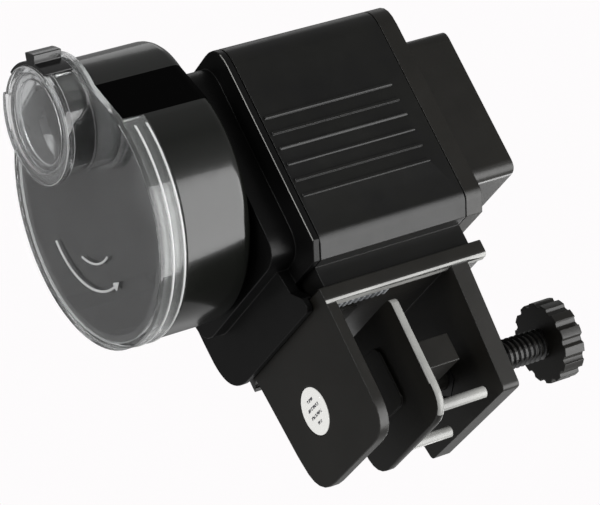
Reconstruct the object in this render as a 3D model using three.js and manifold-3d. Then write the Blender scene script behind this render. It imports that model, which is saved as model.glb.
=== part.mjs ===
// Automatic feeder for an aquarium: a turning food drum on a battery housing that clamps to the tank's rim.
// Millimetres. The origin is the middle of the seat that rests on the rim, -X points over the water,
// +X towards the clamp knob, and +Z is up.
import * as THREE from "three";
import { mergeVertices } from "three/addons/utils/BufferGeometryUtils.js";
import Module from "manifold-3d";

const wasm = await Module();
wasm.setup();

// ---------------------------------------------------------------- driving dimensions

// Clearances and general walls
const GAP = 0.3; // between pieces that touch
const RUN_GAP = 1.1; // between the turning drum and the gearbox
const THIN_WALL = 1.6;
const WALL = 2;

// Glass and clamp
const GLASS_GAP = 12;
const JAW_FACE = 7.25; // the moving jaw's face at rest
const LAND_HEIGHT = 0.6;
const CHEEK_THICK = 3.35;
const CHEEK_REAR = 18.6; // the cheek is narrower towards +Y than the rails are
const CHEEK_TAPER = 3.4;
const CHEEK_DEPTH = 32.5;
const CHEEK_FRONT_CORNER = 8.5;
const CHEEK_REAR_CORNER = 10;
const PLATE_TOP = 3.4;
const RAIL_HALF = 25.7;
const RAIL_WIDE = 2.8;
const RAIL_TOP = 4.1;
const RAIL_END = 37.6;
const ARM_LEFT = 27.2;
const ARM_THICK = 4.6;
const ARM_DEPTH = 31.5;
const ARM_FRONT_LOW = 22;
const ARM_REAR_LOW = 19.5;
const ARM_CORNER = 1.5;
const JAW_THICK = 2;
const JAW_FRONT = 25.3;
const JAW_REAR = 14.5;
const JAW_TOP = -3;
const JAW_DEPTH = 33.2;
const JAW_CORNER = 8;
const PEG_R = 1.4;
const PEG_LONG = 13.5;
const PEG_FRONT = [-19.8, -29.7];
const PEG_MIDDLE = [0.9, -30.8];
const STUB_R = 1.6; // a stop stub on the outer face of the arm
const STUB_LONG = 8;
const STUB_AT = [-6.5, -24.4];
const GUIDE_LONG = 11.5; // a block on the back of the jaw, in front of the screw
const GUIDE_Y = [-20, -6];
const GUIDE_Z = [-20.5, -13.5];
const SCREW_DROP = 17.6;
const SCREW_R = 3.25;
const BOSS_HALF = 4.6;
const BOSS_LONG = 6.6;
const NUT_R = 5.6;
const KNOB_LEFT = 57.2;
const KNOB_THICK = 5.8;
const KNOB_R = 10;
const KNOB_SCALLOPS = 14;
const STICKER_R = 5.8;
const STICKER_DROP = 16.15;

// Rail that carries the housing
const STEM_HALF = 10;
const HEAD_HALF = 14;
const HEAD_LOW = 6.6;
const HEAD_HIGH = 8.6;
const NECK_HALF = 23;

// Housing
const HALF_WIDE = 30.66;
const HOUSE_BOTTOM = 10;
const HOUSE_TOP = 67.3;
const HOUSE_LEFT = -5;
const DOOR_MARGIN = 4.1; // from the battery door to the housing's open end
const HOUSE_CHAMFER = 3.8;
const HOUSE_RADIUS = 7;
const SHELL_WALL = 2;
const RIB_LEFT = -4.2;
const RIB_RIGHT = 31.6;
const RIB_TOP = 46;
const RIB_PITCH = 4.16;
const RIB_COUNT = 6;
const RIB_HIGH = 0.7;
const RIB_PROUD = 0.5;
const CAP_LONG = 4.9;
const CAP_PLATE = 2;

// Gearbox
const FLANGE_THICK = 1.7;
const BOSS_X = -13.7;
const BOX_HALF = 24.2;
const BOX_LOW = 14.2;
const BOX_TOP = 66;
const BOX_WALL = 1.8;
const BOX_FRONT = 1.3;
const BOX_RADIUS = 7;
const APRON_THICK = 1.5; // the apron hangs down over the clamp's left end
const APRON_LOW = 1.4;
const APRON_TOP = 34;
const APRON_REAR = 30.4;
const APRON_CORNER = 12;
const PILLAR_R = 2.6;
const PILLAR_Y = 20.6;
const PILLAR_LOW = 18.5;
const PILLAR_HIGH = 61.2;

// Gear train
const MODULE = 0.7;
const WHEEL_TEETH = 28;
const PINION_TEETH = 7;
const GEAR_THICK = 2;
const LAYER_STEP = 2.4;
const BACKLASH = 0.16;
const SHAFT_R = 1.5;
const JOURNAL_R = 3;
const PIN_R = 0.8;
const HUB_R = 1.5;
const HEX_R = 4.2;

// Batteries: two cells that stand side by side
const CELL_R = 7.15;
const CELL_LONG = 49.4;
const CELL_NUB_R = 2.7;
const CELL_NUB = 1.1;
const CELL_APART = 0.7;
const CELL_FLOOR = 13.6;
const CELL_MARGIN = 2.2; // keeps the cell ends clear of the housing's rounded edge

// Control head
const HEAD_LONG = 17.4;
const HEAD_SIDE = 22.7;
const HEAD_BASE = 19.2;
const HEAD_TOP = 59;
const HEAD_RADIUS = 3;
const BUTTON_R = 3.5;
const BUTTON_PROUD = 0.8;
const BUTTON_TRAVEL = 0.7;
const WINDOW_HALF = 10;
const WINDOW_HIGH = 9.6;
const WINDOW_MID = 48.6;

// Drum
const DRUM_AXIS = 46.3;
const DRUM_TILT = 32;
const DRUM_R = 32.7;
const DRUM_WALL = 1.5;
const DRUM_FRONT = -38.8;
const DRUM_STEP = -33.3;
const COVER_FRONT = -40.7;
const COVER_THICK = 1.6;
const COVER_R = 33;
const SKIRT_WALL = 1.4;
const LOBE_OFFSET = 23.5; // the barrel, the dosing cap and the cover's lobe share this centre
const LOBE_R = 14.6;
const LOBE_TOP = 36; // the drum's own lobe is lower and flatter than the cover's
const LOBE_ARC = 60;
const FLANK_ANGLE = 44.4;
const BARREL_R = 13.4;
const BARREL_WALL = 1.4;
const BARREL_FRONT = -47.2;
const CAP_R = 14.8;
const CAP_FRONT = -49.4;
const CAP_DISC = 1.4;
const SLIDER_WALL = 0.9;
const SLIDER_HALF = 36;
const SLIDER_TRAVEL = 24;
const TAB_PROUD = 2.2;
const TAB_FROM = 2;
const TAB_TO = 16;
const PORT_FROM = 15;
const PORT_TO = 34;

// Values that follow from those above
const CHEEK_INNER = JAW_FACE - GLASS_GAP;
const CHEEK_WALL = CHEEK_INNER - LAND_HEIGHT;
const CHEEK_OUTER = CHEEK_INNER - CHEEK_THICK;
const JAW_LEFT = JAW_FACE + LAND_HEIGHT;
const JAW_RIGHT = JAW_LEFT + JAW_THICK;
const ARM_RIGHT = ARM_LEFT + ARM_THICK;
const LIP_X = CHEEK_OUTER - GAP;
const APRON_LEFT = LIP_X - APRON_THICK;
const FLANGE_RIGHT = HOUSE_LEFT - GAP;
const FLANGE_LEFT = FLANGE_RIGHT - FLANGE_THICK;
const BOX_INNER = BOSS_X + BOX_FRONT;
const WALL_INNER = HOUSE_LEFT + SHELL_WALL;
const FLOOR = HOUSE_BOTTOM + SHELL_WALL;
const NECK_BOTTOM = RAIL_TOP + 0.5;
const LAYER_1 = BOX_INNER + 0.4;
const LAYER_2 = LAYER_1 + LAYER_STEP;
const LAYER_3 = LAYER_2 + LAYER_STEP;
const CENTRES = (MODULE * (WHEEL_TEETH + PINION_TEETH)) / 2;
const OUTPUT = [0, DRUM_AXIS];
const IDLER_A = [OUTPUT[0] - CENTRES * 0.8, OUTPUT[1] - CENTRES * 0.6];
const IDLER_B = [IDLER_A[0], IDLER_A[1] - CENTRES];
const MOTOR = [IDLER_B[0] + CENTRES * 0.952, IDLER_B[1] - CENTRES * 0.306];
const DRUM_REAR = BOSS_X - RUN_GAP;
const CELL_PITCH = 2 * CELL_R + CELL_APART;
const DOOR_LEFT = HOUSE_LEFT + 6;
const DOOR_RIGHT = DOOR_LEFT + 2 * CELL_PITCH + 1;
const HOUSE_RIGHT = DOOR_RIGHT + DOOR_MARGIN;
const CAP_RIGHT = HOUSE_RIGHT + CAP_LONG;
const HEAD_RIGHT = CAP_RIGHT + HEAD_LONG;
const DOOR_LOW = HOUSE_BOTTOM + HOUSE_CHAMFER + 0.1;
const DOOR_HIGH = DOOR_LOW + CELL_LONG;
const CELL_X = (DOOR_LEFT + DOOR_RIGHT) / 2;
const CELL_Y = HALF_WIDE - SHELL_WALL - CELL_R - CELL_MARGIN;

// ---------------------------------------------------------------- materials

const black = new THREE.MeshStandardMaterial({ color: 0x17171a, roughness: 0.45, metalness: 0 });
const softBlack = new THREE.MeshStandardMaterial({ color: 0x1d1d1e, roughness: 0.8, metalness: 0 });
const smoke = new THREE.MeshStandardMaterial({ color: 0x141517, roughness: 0.12, metalness: 0 });
const clear = new THREE.MeshStandardMaterial({ color: 0xdfe4e4, roughness: 0.08, metalness: 0 });
const paper = new THREE.MeshStandardMaterial({ color: 0xf2f2ee, roughness: 0.6, metalness: 0 });
const steel = new THREE.MeshStandardMaterial({ color: 0xb4b6b8, roughness: 0.3, metalness: 1 });
const brass = new THREE.MeshStandardMaterial({ color: 0xc8a45a, roughness: 0.35, metalness: 1 });
const nylon = new THREE.MeshStandardMaterial({ color: 0xe9e6da, roughness: 0.5, metalness: 0 });
const board = new THREE.MeshStandardMaterial({ color: 0x1d5a35, roughness: 0.5, metalness: 0 });
const liquid = new THREE.MeshStandardMaterial({ color: 0x9aa68c, roughness: 0.25, metalness: 0 });
const cellSkin = new THREE.MeshStandardMaterial({ color: 0x2f5f8f, roughness: 0.4, metalness: 0 });
const keyGrey = new THREE.MeshStandardMaterial({ color: 0x8b8f92, roughness: 0.55, metalness: 0 });

// ---------------------------------------------------------------- solids

// Each matrix turns an extrusion's depth onto a row axis: outline (u, v) becomes (Y, Z), (Z, X) or (X, Y).
const axis = (a, b, c) =>
  new THREE.Matrix4().makeBasis(new THREE.Vector3(...a), new THREE.Vector3(...b), new THREE.Vector3(...c));
const ALONG = {
  x: axis([0, 1, 0], [0, 0, 1], [1, 0, 0]),
  y: axis([0, 0, 1], [1, 0, 0], [0, 1, 0]),
  z: axis([1, 0, 0], [0, 1, 0], [0, 0, 1]),
};
const radians = THREE.MathUtils.degToRad;

function solid(geometry) {
  geometry.deleteAttribute("normal");
  geometry.deleteAttribute("uv");
  const merged = mergeVertices(geometry, 1e-4);
  const mesh = new wasm.Mesh({
    numProp: 3,
    vertProperties: merged.attributes.position.array,
    triVerts: new Uint32Array(merged.index.array),
  });
  return new wasm.Manifold(mesh);
}

// A slab of constant outline between two stations along an axis.
function slab(outline, along, from, to, arcSteps = 6) {
  const geometry = new THREE.ExtrudeGeometry(outline, {
    depth: to - from,
    bevelEnabled: false,
    curveSegments: arcSteps,
  });
  geometry.translate(0, 0, from);
  return solid(geometry.applyMatrix4(ALONG[along]));
}

function block([x0, x1], [y0, y1], [z0, z1]) {
  const geometry = new THREE.BoxGeometry(x1 - x0, y1 - y0, z1 - z0);
  geometry.translate((x0 + x1) / 2, (y0 + y1) / 2, (z0 + z1) / 2);
  return solid(geometry);
}

// A round bar along an axis; the centre is given in the outline's (u, v).
function bar(along, radius, from, to, [u, v] = [0, 0], sides = 20) {
  const geometry = new THREE.CylinderGeometry(radius, radius, to - from, sides);
  geometry.rotateX(Math.PI / 2);
  geometry.translate(u, v, (from + to) / 2);
  return solid(geometry.applyMatrix4(ALONG[along]));
}

const tube = (along, outer, inner, from, to, centre = [0, 0], sides = 20) =>
  bar(along, outer, from, to, centre, sides).subtract(bar(along, inner, from - 1, to + 1, centre, sides));

const joined = (...solids) => solids.reduce((all, next) => all.add(next));
const cut = (body, ...tools) => tools.reduce((left, tool) => left.subtract(tool), body);

// ---------------------------------------------------------------- outlines

// A closed outline through the corners [u, v, radius], with each corner rounded by its radius.
function rounded(corners) {
  const outline = new THREE.Shape();
  corners.forEach(([u, v, radius], i) => {
    const here = new THREE.Vector2(u, v);
    const before = new THREE.Vector2(...corners.at(i - 1)).sub(here).normalize();
    const after = new THREE.Vector2(...corners[(i + 1) % corners.length]).sub(here).normalize();
    const back = radius / Math.tan(Math.acos(before.dot(after)) / 2);
    const start = here.clone().addScaledVector(before, back);
    const end = here.clone().addScaledVector(after, back);
    if (i === 0) outline.moveTo(start.x, start.y);
    else outline.lineTo(start.x, start.y);
    if (radius > 0) outline.quadraticCurveTo(u, v, end.x, end.y);
  });
  return outline;
}

const rectangle = (u0, u1, v0, v1, radius) =>
  rounded([
    [u0, v0, radius],
    [u1, v0, radius],
    [u1, v1, radius],
    [u0, v1, radius],
  ]);

// Cross-section of the housing, drawn inwards by inset.
function housingOutline(inset = 0) {
  const half = HALF_WIDE - inset;
  const low = HOUSE_BOTTOM + inset;
  const high = HOUSE_TOP - inset;
  const chamfer = HOUSE_CHAMFER - inset * (2 - Math.SQRT2);
  const radius = HOUSE_RADIUS - inset;
  return rounded([
    [-half + chamfer, low, 0],
    [half - chamfer, low, 0],
    [half, low + chamfer, 0],
    [half, high, radius],
    [-half, high, radius],
    [-half, low + chamfer, 0],
  ]);
}

// A plate that hangs down. Its front and rear edges are each given as Y at the top, Y at the bottom, corner radius.
const hangingOutline = (front, rear, top, bottom) =>
  rounded([
    [front[1], bottom, front[2]],
    [rear[1], bottom, rear[2]],
    [rear[0], top, 0],
    [front[0], top, 0],
  ]);

// The drum seen along its axis, with the lobe straight up: a circle and a lobe that a flat flank joins on each side.
function drumOutline(drumR, lobeR, lobeOffset = LOBE_OFFSET, lobeArc = radians(LOBE_ARC)) {
  const outline = new THREE.Shape();
  const flank = radians(FLANK_ANGLE);
  const up = Math.PI / 2;
  outline.absarc(0, 0, drumR, up + flank, up - flank, false);
  outline.absarc(0, lobeOffset, lobeR, up - lobeArc, up + lobeArc, false);
  return outline;
}

// The drum's own outline, drawn inwards by wall: its lobe ends where the cover's does, and is flatter on top.
function shellOutline(radius, wall) {
  const halfWide = LOBE_R * Math.sin(radians(LOBE_ARC));
  const rise = LOBE_TOP - LOBE_OFFSET - LOBE_R * Math.cos(radians(LOBE_ARC));
  const lobeR = (halfWide ** 2 + rise ** 2) / (2 * rise);
  return drumOutline(radius, lobeR - wall, LOBE_TOP - lobeR, Math.asin(halfWide / lobeR));
}

// A sector of a ring about the lobe's axis, from and to in degrees from straight up.
function arcBand(outer, inner, from, to) {
  const outline = new THREE.Shape();
  const start = radians(90 + from);
  const end = radians(90 + to);
  outline.absarc(0, LOBE_OFFSET, outer, start, end, false);
  outline.absarc(0, LOBE_OFFSET, inner, end, start, true);
  return outline;
}

// Involute teeth; phase is the angle of the middle of one tooth.
function gearOutline(teeth, phase) {
  const pitchR = (MODULE * teeth) / 2;
  const pressure = radians(20);
  const baseR = pitchR * Math.cos(pressure);
  const rootR = pitchR - 1.2 * MODULE;
  const tipR = pitchR + 0.85 * MODULE;
  const involute = (angle) => Math.tan(angle) - angle;
  const pitchHalf = Math.PI / (2 * teeth) - BACKLASH / (2 * pitchR);
  const halfAt = (radius) =>
    radius <= baseR
      ? pitchHalf + involute(pressure)
      : pitchHalf + involute(pressure) - involute(Math.acos(baseR / radius));
  const flank = [rootR, pitchR, tipR];
  const points = [];
  for (let tooth = 0; tooth < teeth; tooth += 1) {
    const middle = phase + (tooth * 2 * Math.PI) / teeth;
    for (const radius of flank) points.push([radius, middle - halfAt(radius)]);
    for (const radius of [...flank].reverse()) points.push([radius, middle + halfAt(radius)]);
  }
  return new THREE.Shape(points.map(([r, a]) => new THREE.Vector2(r * Math.cos(a), r * Math.sin(a))));
}

// The phase that puts a gap of the driven gear over the tooth of its driver.
function meshPhase(driverTeeth, driverPhase, drivenTeeth, from, to) {
  const direction = Math.atan2(to[1] - from[1], to[0] - from[0]);
  const driverPlace = ((direction - driverPhase) * driverTeeth) / (2 * Math.PI);
  return direction + Math.PI - ((0.5 - driverPlace) * 2 * Math.PI) / drivenTeeth;
}

const gear = (teeth, phase, centre, from) =>
  slab(gearOutline(teeth, phase), "x", from, from + GEAR_THICK).translate([0, ...centre]);

// ---------------------------------------------------------------- assembly

const feeder = new THREE.Group();
const bracket = new THREE.Group();
const housing = new THREE.Group();
const drum = new THREE.Group();
drum.position.z = DRUM_AXIS;
drum.rotation.x = radians(DRUM_TILT);
feeder.add(bracket, housing, drum);

function place(group, name, shape, material) {
  const made = shape.getMesh();
  const geometry = new THREE.BufferGeometry();
  geometry.setAttribute("position", new THREE.BufferAttribute(new Float32Array(made.vertProperties), 3));
  geometry.setIndex(new THREE.BufferAttribute(new Uint32Array(made.triVerts), 1));
  const flat = geometry.toNonIndexed();
  flat.computeVertexNormals();
  const mesh = new THREE.Mesh(flat, material);
  mesh.name = name;
  group.add(mesh);
}

// ---------------------------------------------------------------- clamp

const SEAT_HALF = -CHEEK_INNER - 0.25;
const GRIP_Y = RAIL_HALF - RAIL_WIDE - 1.7;
const GRIP_LEFT = CHEEK_WALL + 0.6;
const GRIP_RIGHT = JAW_RIGHT + 2;
const GRIP_HALF = 1.2;
const GRIP_GROOVE = LAND_HEIGHT + 1;
const GRIP_PITCH = 1.6;

function clampBracket() {
  const cheekOutline = hangingOutline(
    [-RAIL_HALF, -RAIL_HALF + 0.5, CHEEK_FRONT_CORNER],
    [CHEEK_REAR, CHEEK_REAR - CHEEK_TAPER, CHEEK_REAR_CORNER],
    RAIL_TOP,
    -CHEEK_DEPTH,
  );
  const cheek = slab(cheekOutline, "x", CHEEK_OUTER, CHEEK_WALL);
  const cheekLand = slab(rectangle(-13, 13, -27, -7, 3), "x", CHEEK_WALL - 0.5, CHEEK_INNER);
  const roof = block([CHEEK_OUTER, RAIL_END], [-RAIL_HALF, RAIL_HALF], [LAND_HEIGHT, PLATE_TOP]);
  const rail = (side) =>
    block(
      [CHEEK_OUTER, RAIL_END],
      side > 0 ? [RAIL_HALF - RAIL_WIDE, RAIL_HALF] : [-RAIL_HALF, -RAIL_HALF + RAIL_WIDE],
      [0, RAIL_TOP],
    );
  const seat = block([-SEAT_HALF, SEAT_HALF], [-17, 17], [0, LAND_HEIGHT + 0.5]);
  const armOutline = hangingOutline(
    [-RAIL_HALF, -ARM_FRONT_LOW, ARM_CORNER],
    [RAIL_HALF, ARM_REAR_LOW, ARM_CORNER],
    LAND_HEIGHT + 1,
    -ARM_DEPTH,
  );
  const arm = slab(armOutline, "x", ARM_LEFT, ARM_RIGHT);
  const stem = block([-2, RAIL_END - 3], [-STEM_HALF, STEM_HALF], [PLATE_TOP - 0.5, HEAD_LOW + 0.5]);
  const head = block([-2, RAIL_END - 3], [-HEAD_HALF, HEAD_HALF], [HEAD_LOW, HEAD_HIGH]);
  const stub = bar("x", STUB_R, ARM_RIGHT - 0.5, ARM_RIGHT + STUB_LONG, STUB_AT, 20);
  const body = joined(cheek, cheekLand, roof, rail(1), rail(-1), seat, arm, stem, head, stub);
  const cornerCut = slab(
    rounded([
      [CHEEK_OUTER - 1, CHEEK_REAR, 0],
      [CHEEK_OUTER, CHEEK_REAR, 0],
      [CHEEK_WALL, RAIL_HALF + 1, 0],
      [CHEEK_OUTER - 1, RAIL_HALF + 1, 0],
    ]),
    "z",
    -1,
    RAIL_TOP + 1,
  );
  const groove = (side) =>
    block(
      [GRIP_LEFT - GAP, GRIP_RIGHT + GAP],
      [side * GRIP_Y - GRIP_HALF - GAP, side * GRIP_Y + GRIP_HALF + GAP],
      [-1, GRIP_GROOVE + GAP],
    );
  return cut(
    body,
    cornerCut,
    groove(1),
    groove(-1),
    bar("x", SCREW_R + 0.4, ARM_LEFT - 1, ARM_RIGHT + 1, [0, -SCREW_DROP]),
    bar("x", NUT_R + GAP, ARM_LEFT - 1, ARM_LEFT + ARM_THICK * 0.55, [0, -SCREW_DROP], 6),
    bar("x", STICKER_R + GAP, CHEEK_OUTER - 1, CHEEK_OUTER + 0.3, STICKER_AT, 32),
  );
}
const STICKER_AT = [0, -STICKER_DROP];

// A soft strip with teeth that bite on the rim.
function gripStrip(side) {
  const count = Math.floor((GRIP_RIGHT - GRIP_LEFT) / GRIP_PITCH);
  const outline = new THREE.Shape();
  outline.moveTo(GRIP_LEFT, GRIP_GROOVE);
  outline.lineTo(GRIP_LEFT, LAND_HEIGHT);
  for (let tooth = 0; tooth < count; tooth += 1) {
    const start = GRIP_LEFT + tooth * GRIP_PITCH;
    outline.lineTo(start + GRIP_PITCH * 0.3, 0);
    outline.lineTo(start + GRIP_PITCH * 0.7, 0);
    outline.lineTo(start + GRIP_PITCH, LAND_HEIGHT);
  }
  outline.lineTo(GRIP_LEFT + count * GRIP_PITCH, GRIP_GROOVE);
  const geometry = new THREE.ExtrudeGeometry(outline, { depth: 2 * GRIP_HALF, bevelEnabled: false });
  geometry.rotateX(Math.PI / 2);
  geometry.translate(0, side * GRIP_Y + GRIP_HALF, 0);
  return solid(geometry);
}

function pressurePlate() {
  const outline = rounded([
    [-JAW_FRONT, -JAW_DEPTH, JAW_CORNER],
    [JAW_REAR, -JAW_DEPTH, JAW_CORNER],
    [JAW_REAR, JAW_TOP, 2],
    [-JAW_FRONT, JAW_TOP, 2],
  ]);
  const plate = slab(outline, "x", JAW_LEFT, JAW_RIGHT);
  const land = slab(rectangle(-12, 12, -24, -9, 3), "x", JAW_FACE, JAW_LEFT + 0.5);
  const bossOutline = rectangle(-BOSS_HALF, BOSS_HALF, -SCREW_DROP - BOSS_HALF, -SCREW_DROP + BOSS_HALF, 1);
  const boss = slab(bossOutline, "x", JAW_RIGHT - 0.5, JAW_RIGHT + BOSS_LONG, 4);
  const pegs = [PEG_FRONT, PEG_MIDDLE].map((at) =>
    bar("x", PEG_R, JAW_RIGHT - 0.5, JAW_RIGHT + PEG_LONG, at, 16),
  );
  const guide = block([JAW_RIGHT - 0.5, JAW_RIGHT + GUIDE_LONG], GUIDE_Y, GUIDE_Z);
  const socket = bar("x", SCREW_R + GAP, JAW_RIGHT, JAW_RIGHT + BOSS_LONG + 1, [0, -SCREW_DROP]);
  const clipSlot = block(
    [CLIP_X - GAP, CLIP_X + CLIP_THICK + GAP],
    [-BOSS_HALF + 0.9, BOSS_HALF - 0.9],
    [-SCREW_DROP - BOSS_HALF + 0.9, -SCREW_DROP + BOSS_HALF + 1],
  );
  return cut(joined(plate, land, boss, guide, ...pegs), socket, clipSlot);
}
const CLIP_X = JAW_RIGHT + BOSS_LONG * 0.5;
const CLIP_THICK = 1;
const NECK_R = SCREW_R - 1.1;

// A forked steel clip that holds the screw's grooved end in the jaw.
function screwClip() {
  const low = -SCREW_DROP - BOSS_HALF + 1.2;
  const high = -SCREW_DROP + BOSS_HALF - 0.4;
  const body = block([CLIP_X, CLIP_X + CLIP_THICK], [-BOSS_HALF + 1.2, BOSS_HALF - 1.2], [low, high]);
  const mouth = block([CLIP_X - 1, CLIP_X + 2], [-NECK_R - GAP, NECK_R + GAP], [low - 1, -SCREW_DROP]);
  return cut(body, mouth, bar("x", NECK_R + GAP, CLIP_X - 1, CLIP_X + 2, [0, -SCREW_DROP]));
}

function clampScrew() {
  const centre = [0, -SCREW_DROP];
  const rod = bar("x", SCREW_R, JAW_RIGHT + GAP, KNOB_LEFT + KNOB_THICK - 1.5, centre);
  const groove = tube("x", SCREW_R + 1, NECK_R, CLIP_X - GAP - 0.1, CLIP_X + CLIP_THICK + GAP + 0.1, centre);
  const flats = [-1, 1].map((side) =>
    block(
      [KNOB_LEFT, KNOB_LEFT + KNOB_THICK],
      side > 0 ? [SCREW_R - 0.8, SCREW_R + 1] : [-SCREW_R - 1, -SCREW_R + 0.8],
      [-SCREW_DROP - SCREW_R, -SCREW_DROP + SCREW_R],
    ),
  );
  return cut(rod, groove, ...flats);
}

function clampKnob() {
  const centre = [0, -SCREW_DROP];
  const disc = bar("x", KNOB_R, KNOB_LEFT, KNOB_LEFT + KNOB_THICK, centre, 4 * KNOB_SCALLOPS);
  const bites = Array.from({ length: KNOB_SCALLOPS }, (_, i) => {
    const turn = (i * 2 * Math.PI) / KNOB_SCALLOPS;
    const at = [KNOB_R * 1.04 * Math.cos(turn), KNOB_R * 1.04 * Math.sin(turn) - SCREW_DROP];
    return bar("x", KNOB_R * 0.13, KNOB_LEFT - 1, KNOB_LEFT + KNOB_THICK + 1, at, 8);
  });
  const bore = bar("x", SCREW_R + GAP, KNOB_LEFT - 1, KNOB_LEFT + KNOB_THICK - 1.2, centre);
  const dCut = block(
    [KNOB_LEFT - 1, KNOB_LEFT + KNOB_THICK - 1.2],
    [-SCREW_R + 0.8 - GAP, SCREW_R - 0.8 + GAP],
    [-SCREW_DROP - 2 * SCREW_R, -SCREW_DROP + 2 * SCREW_R],
  );
  return cut(disc, ...bites, bore.intersect(dCut));
}

place(bracket, "clamp_bracket", clampBracket(), black);
place(bracket, "rim_grip_front", gripStrip(-1), softBlack);
place(bracket, "rim_grip_rear", gripStrip(1), softBlack);
place(
  bracket,
  "inspection_sticker",
  bar("x", STICKER_R, CHEEK_OUTER + 0.02, CHEEK_OUTER + 0.2, STICKER_AT, 32),
  paper,
);
place(
  bracket,
  "trapped_nut",
  cut(
    bar("x", NUT_R, ARM_LEFT + 0.1, ARM_LEFT + ARM_THICK * 0.55 - GAP, [0, -SCREW_DROP], 6),
    bar("x", SCREW_R + 0.15, ARM_LEFT - 1, ARM_RIGHT, [0, -SCREW_DROP]),
  ),
  brass,
);
place(bracket, "pressure_plate", pressurePlate(), black);
place(bracket, "screw_clip", screwClip(), steel);
place(bracket, "clamp_screw", clampScrew(), black);
place(bracket, "clamp_knob", clampKnob(), black);

// ---------------------------------------------------------------- housing

const MOTOR_R = 9.6;
const MOTOR_LONG = 24;
const MOTOR_SHAFT_R = 1;
const BUSH_R = 3.4;
const SCREW_SHANK_R = 1.1;
const SCREW_HEAD_R = 2.2;
const SCREW_HEAD = 1.5;

const pillars = [-1, 1].flatMap((side) => [
  [side * PILLAR_Y, PILLAR_LOW],
  [side * PILLAR_Y, PILLAR_HIGH],
]);

// Six thin grip ribs on a side wall.
const gripRibs = (side, left, right) =>
  Array.from({ length: RIB_COUNT }, (_, i) => {
    const top = RIB_TOP - i * RIB_PITCH;
    const face = side > 0 ? [HALF_WIDE - 0.5, HALF_WIDE + RIB_PROUD] : [-HALF_WIDE - RIB_PROUD, -HALF_WIDE + 0.5];
    return block([left, right], face, [top - RIB_HIGH, top]);
  });

const doorZone = (grow) =>
  block([DOOR_LEFT - grow, DOOR_RIGHT + grow], [CELL_Y, HALF_WIDE + 3], [DOOR_LOW - grow, DOOR_HIGH + grow]);

function mainShell() {
  const outside = slab(housingOutline(), "x", HOUSE_LEFT, HOUSE_RIGHT);
  const inside = slab(housingOutline(SHELL_WALL), "x", WALL_INNER, HOUSE_RIGHT + 1);
  const neck = block([HOUSE_LEFT, HOUSE_RIGHT], [-NECK_HALF, NECK_HALF], [NECK_BOTTOM, FLOOR]);
  const stemSlot = block([HOUSE_LEFT - 1, HOUSE_RIGHT + 1], [-STEM_HALF - GAP, STEM_HALF + GAP], [0, HEAD_LOW]);
  const headSlot = block(
    [HOUSE_LEFT - 1, HOUSE_RIGHT + 1],
    [-HEAD_HALF - GAP, HEAD_HALF + GAP],
    [HEAD_LOW - GAP, HEAD_HIGH + GAP],
  );
  const pinSockets = [IDLER_A, IDLER_B].map((at) => bar("x", PIN_R + 0.2, HOUSE_LEFT - 1, HOUSE_LEFT + 1.3, at, 8));
  const screwHoles = pillars.map((at) => bar("x", SCREW_SHANK_R + GAP, HOUSE_LEFT - 1, WALL_INNER + 1, at, 8));
  return cut(
    joined(outside.subtract(inside), neck, ...gripRibs(-1, RIB_LEFT, RIB_RIGHT)),
    stemSlot,
    headSlot,
    ...pinSockets,
    ...screwHoles,
    bar("x", BUSH_R + GAP, HOUSE_LEFT - 1, WALL_INNER + 1, OUTPUT),
    bar("x", MOTOR_SHAFT_R + 0.6, HOUSE_LEFT - 1, WALL_INNER + 1, MOTOR, 12),
    doorZone(GAP),
  );
}

function batteryDoor() {
  const wall = slab(housingOutline(), "x", DOOR_LEFT, DOOR_RIGHT).subtract(
    slab(housingOutline(SHELL_WALL), "x", DOOR_LEFT - 1, DOOR_RIGHT + 1),
  );
  return joined(wall.intersect(doorZone(0)), ...gripRibs(1, DOOR_LEFT + 2, DOOR_RIGHT - 2));
}

const apronOutline = rounded([
  [-20.5, APRON_LOW, 1.5],
  [APRON_REAR, APRON_LOW, APRON_CORNER],
  [APRON_REAR, APRON_TOP, 2],
  [-12, APRON_TOP, 2],
  [-16.2, HOUSE_BOTTOM - 2, 1],
  [-19.6, 5, 1],
]);

function gearboxCover() {
  const flange = slab(housingOutline(), "x", FLANGE_LEFT, FLANGE_RIGHT);
  const box = slab(
    rectangle(-BOX_HALF, BOX_HALF, BOX_LOW, BOX_TOP, BOX_RADIUS),
    "x",
    BOSS_X,
    FLANGE_LEFT + 0.5,
  );
  const apron = slab(apronOutline, "x", APRON_LEFT, FLANGE_LEFT + 0.5, 12);
  const cavityOutline = rectangle(
    -BOX_HALF + BOX_WALL,
    BOX_HALF - BOX_WALL,
    BOX_LOW + BOX_WALL,
    BOX_TOP - BOX_WALL,
    BOX_RADIUS - BOX_WALL,
  );
  const cavity = slab(cavityOutline, "x", BOX_INNER, FLANGE_RIGHT + 1);
  const columns = pillars.map((at) => bar("x", PILLAR_R, BOX_INNER - 0.5, FLANGE_RIGHT, at, 16));
  const relief = (left, top) => block([left, 0], [-HALF_WIDE - 1, HALF_WIDE + 1], [-1, top]);
  const pinSockets = [IDLER_A, IDLER_B].map((at) => bar("x", PIN_R + 0.2, BOX_INNER - 0.8, BOX_INNER + 1, at, 8));
  const screwBores = pillars.map((at) => bar("x", SCREW_SHANK_R + GAP, LAYER_1, FLANGE_RIGHT + 1, at, 8));
  return cut(
    joined(joined(flange, box, apron).subtract(cavity), ...columns),
    relief(LIP_X, RAIL_TOP + GAP),
    relief(FLANGE_LEFT - GAP, HOUSE_BOTTOM),
    ...pinSockets,
    ...screwBores,
    bar("x", JOURNAL_R + 0.3 + 1.6 + GAP, BOSS_X - 1, BOX_INNER + 0.5, OUTPUT),
  );
}

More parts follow.
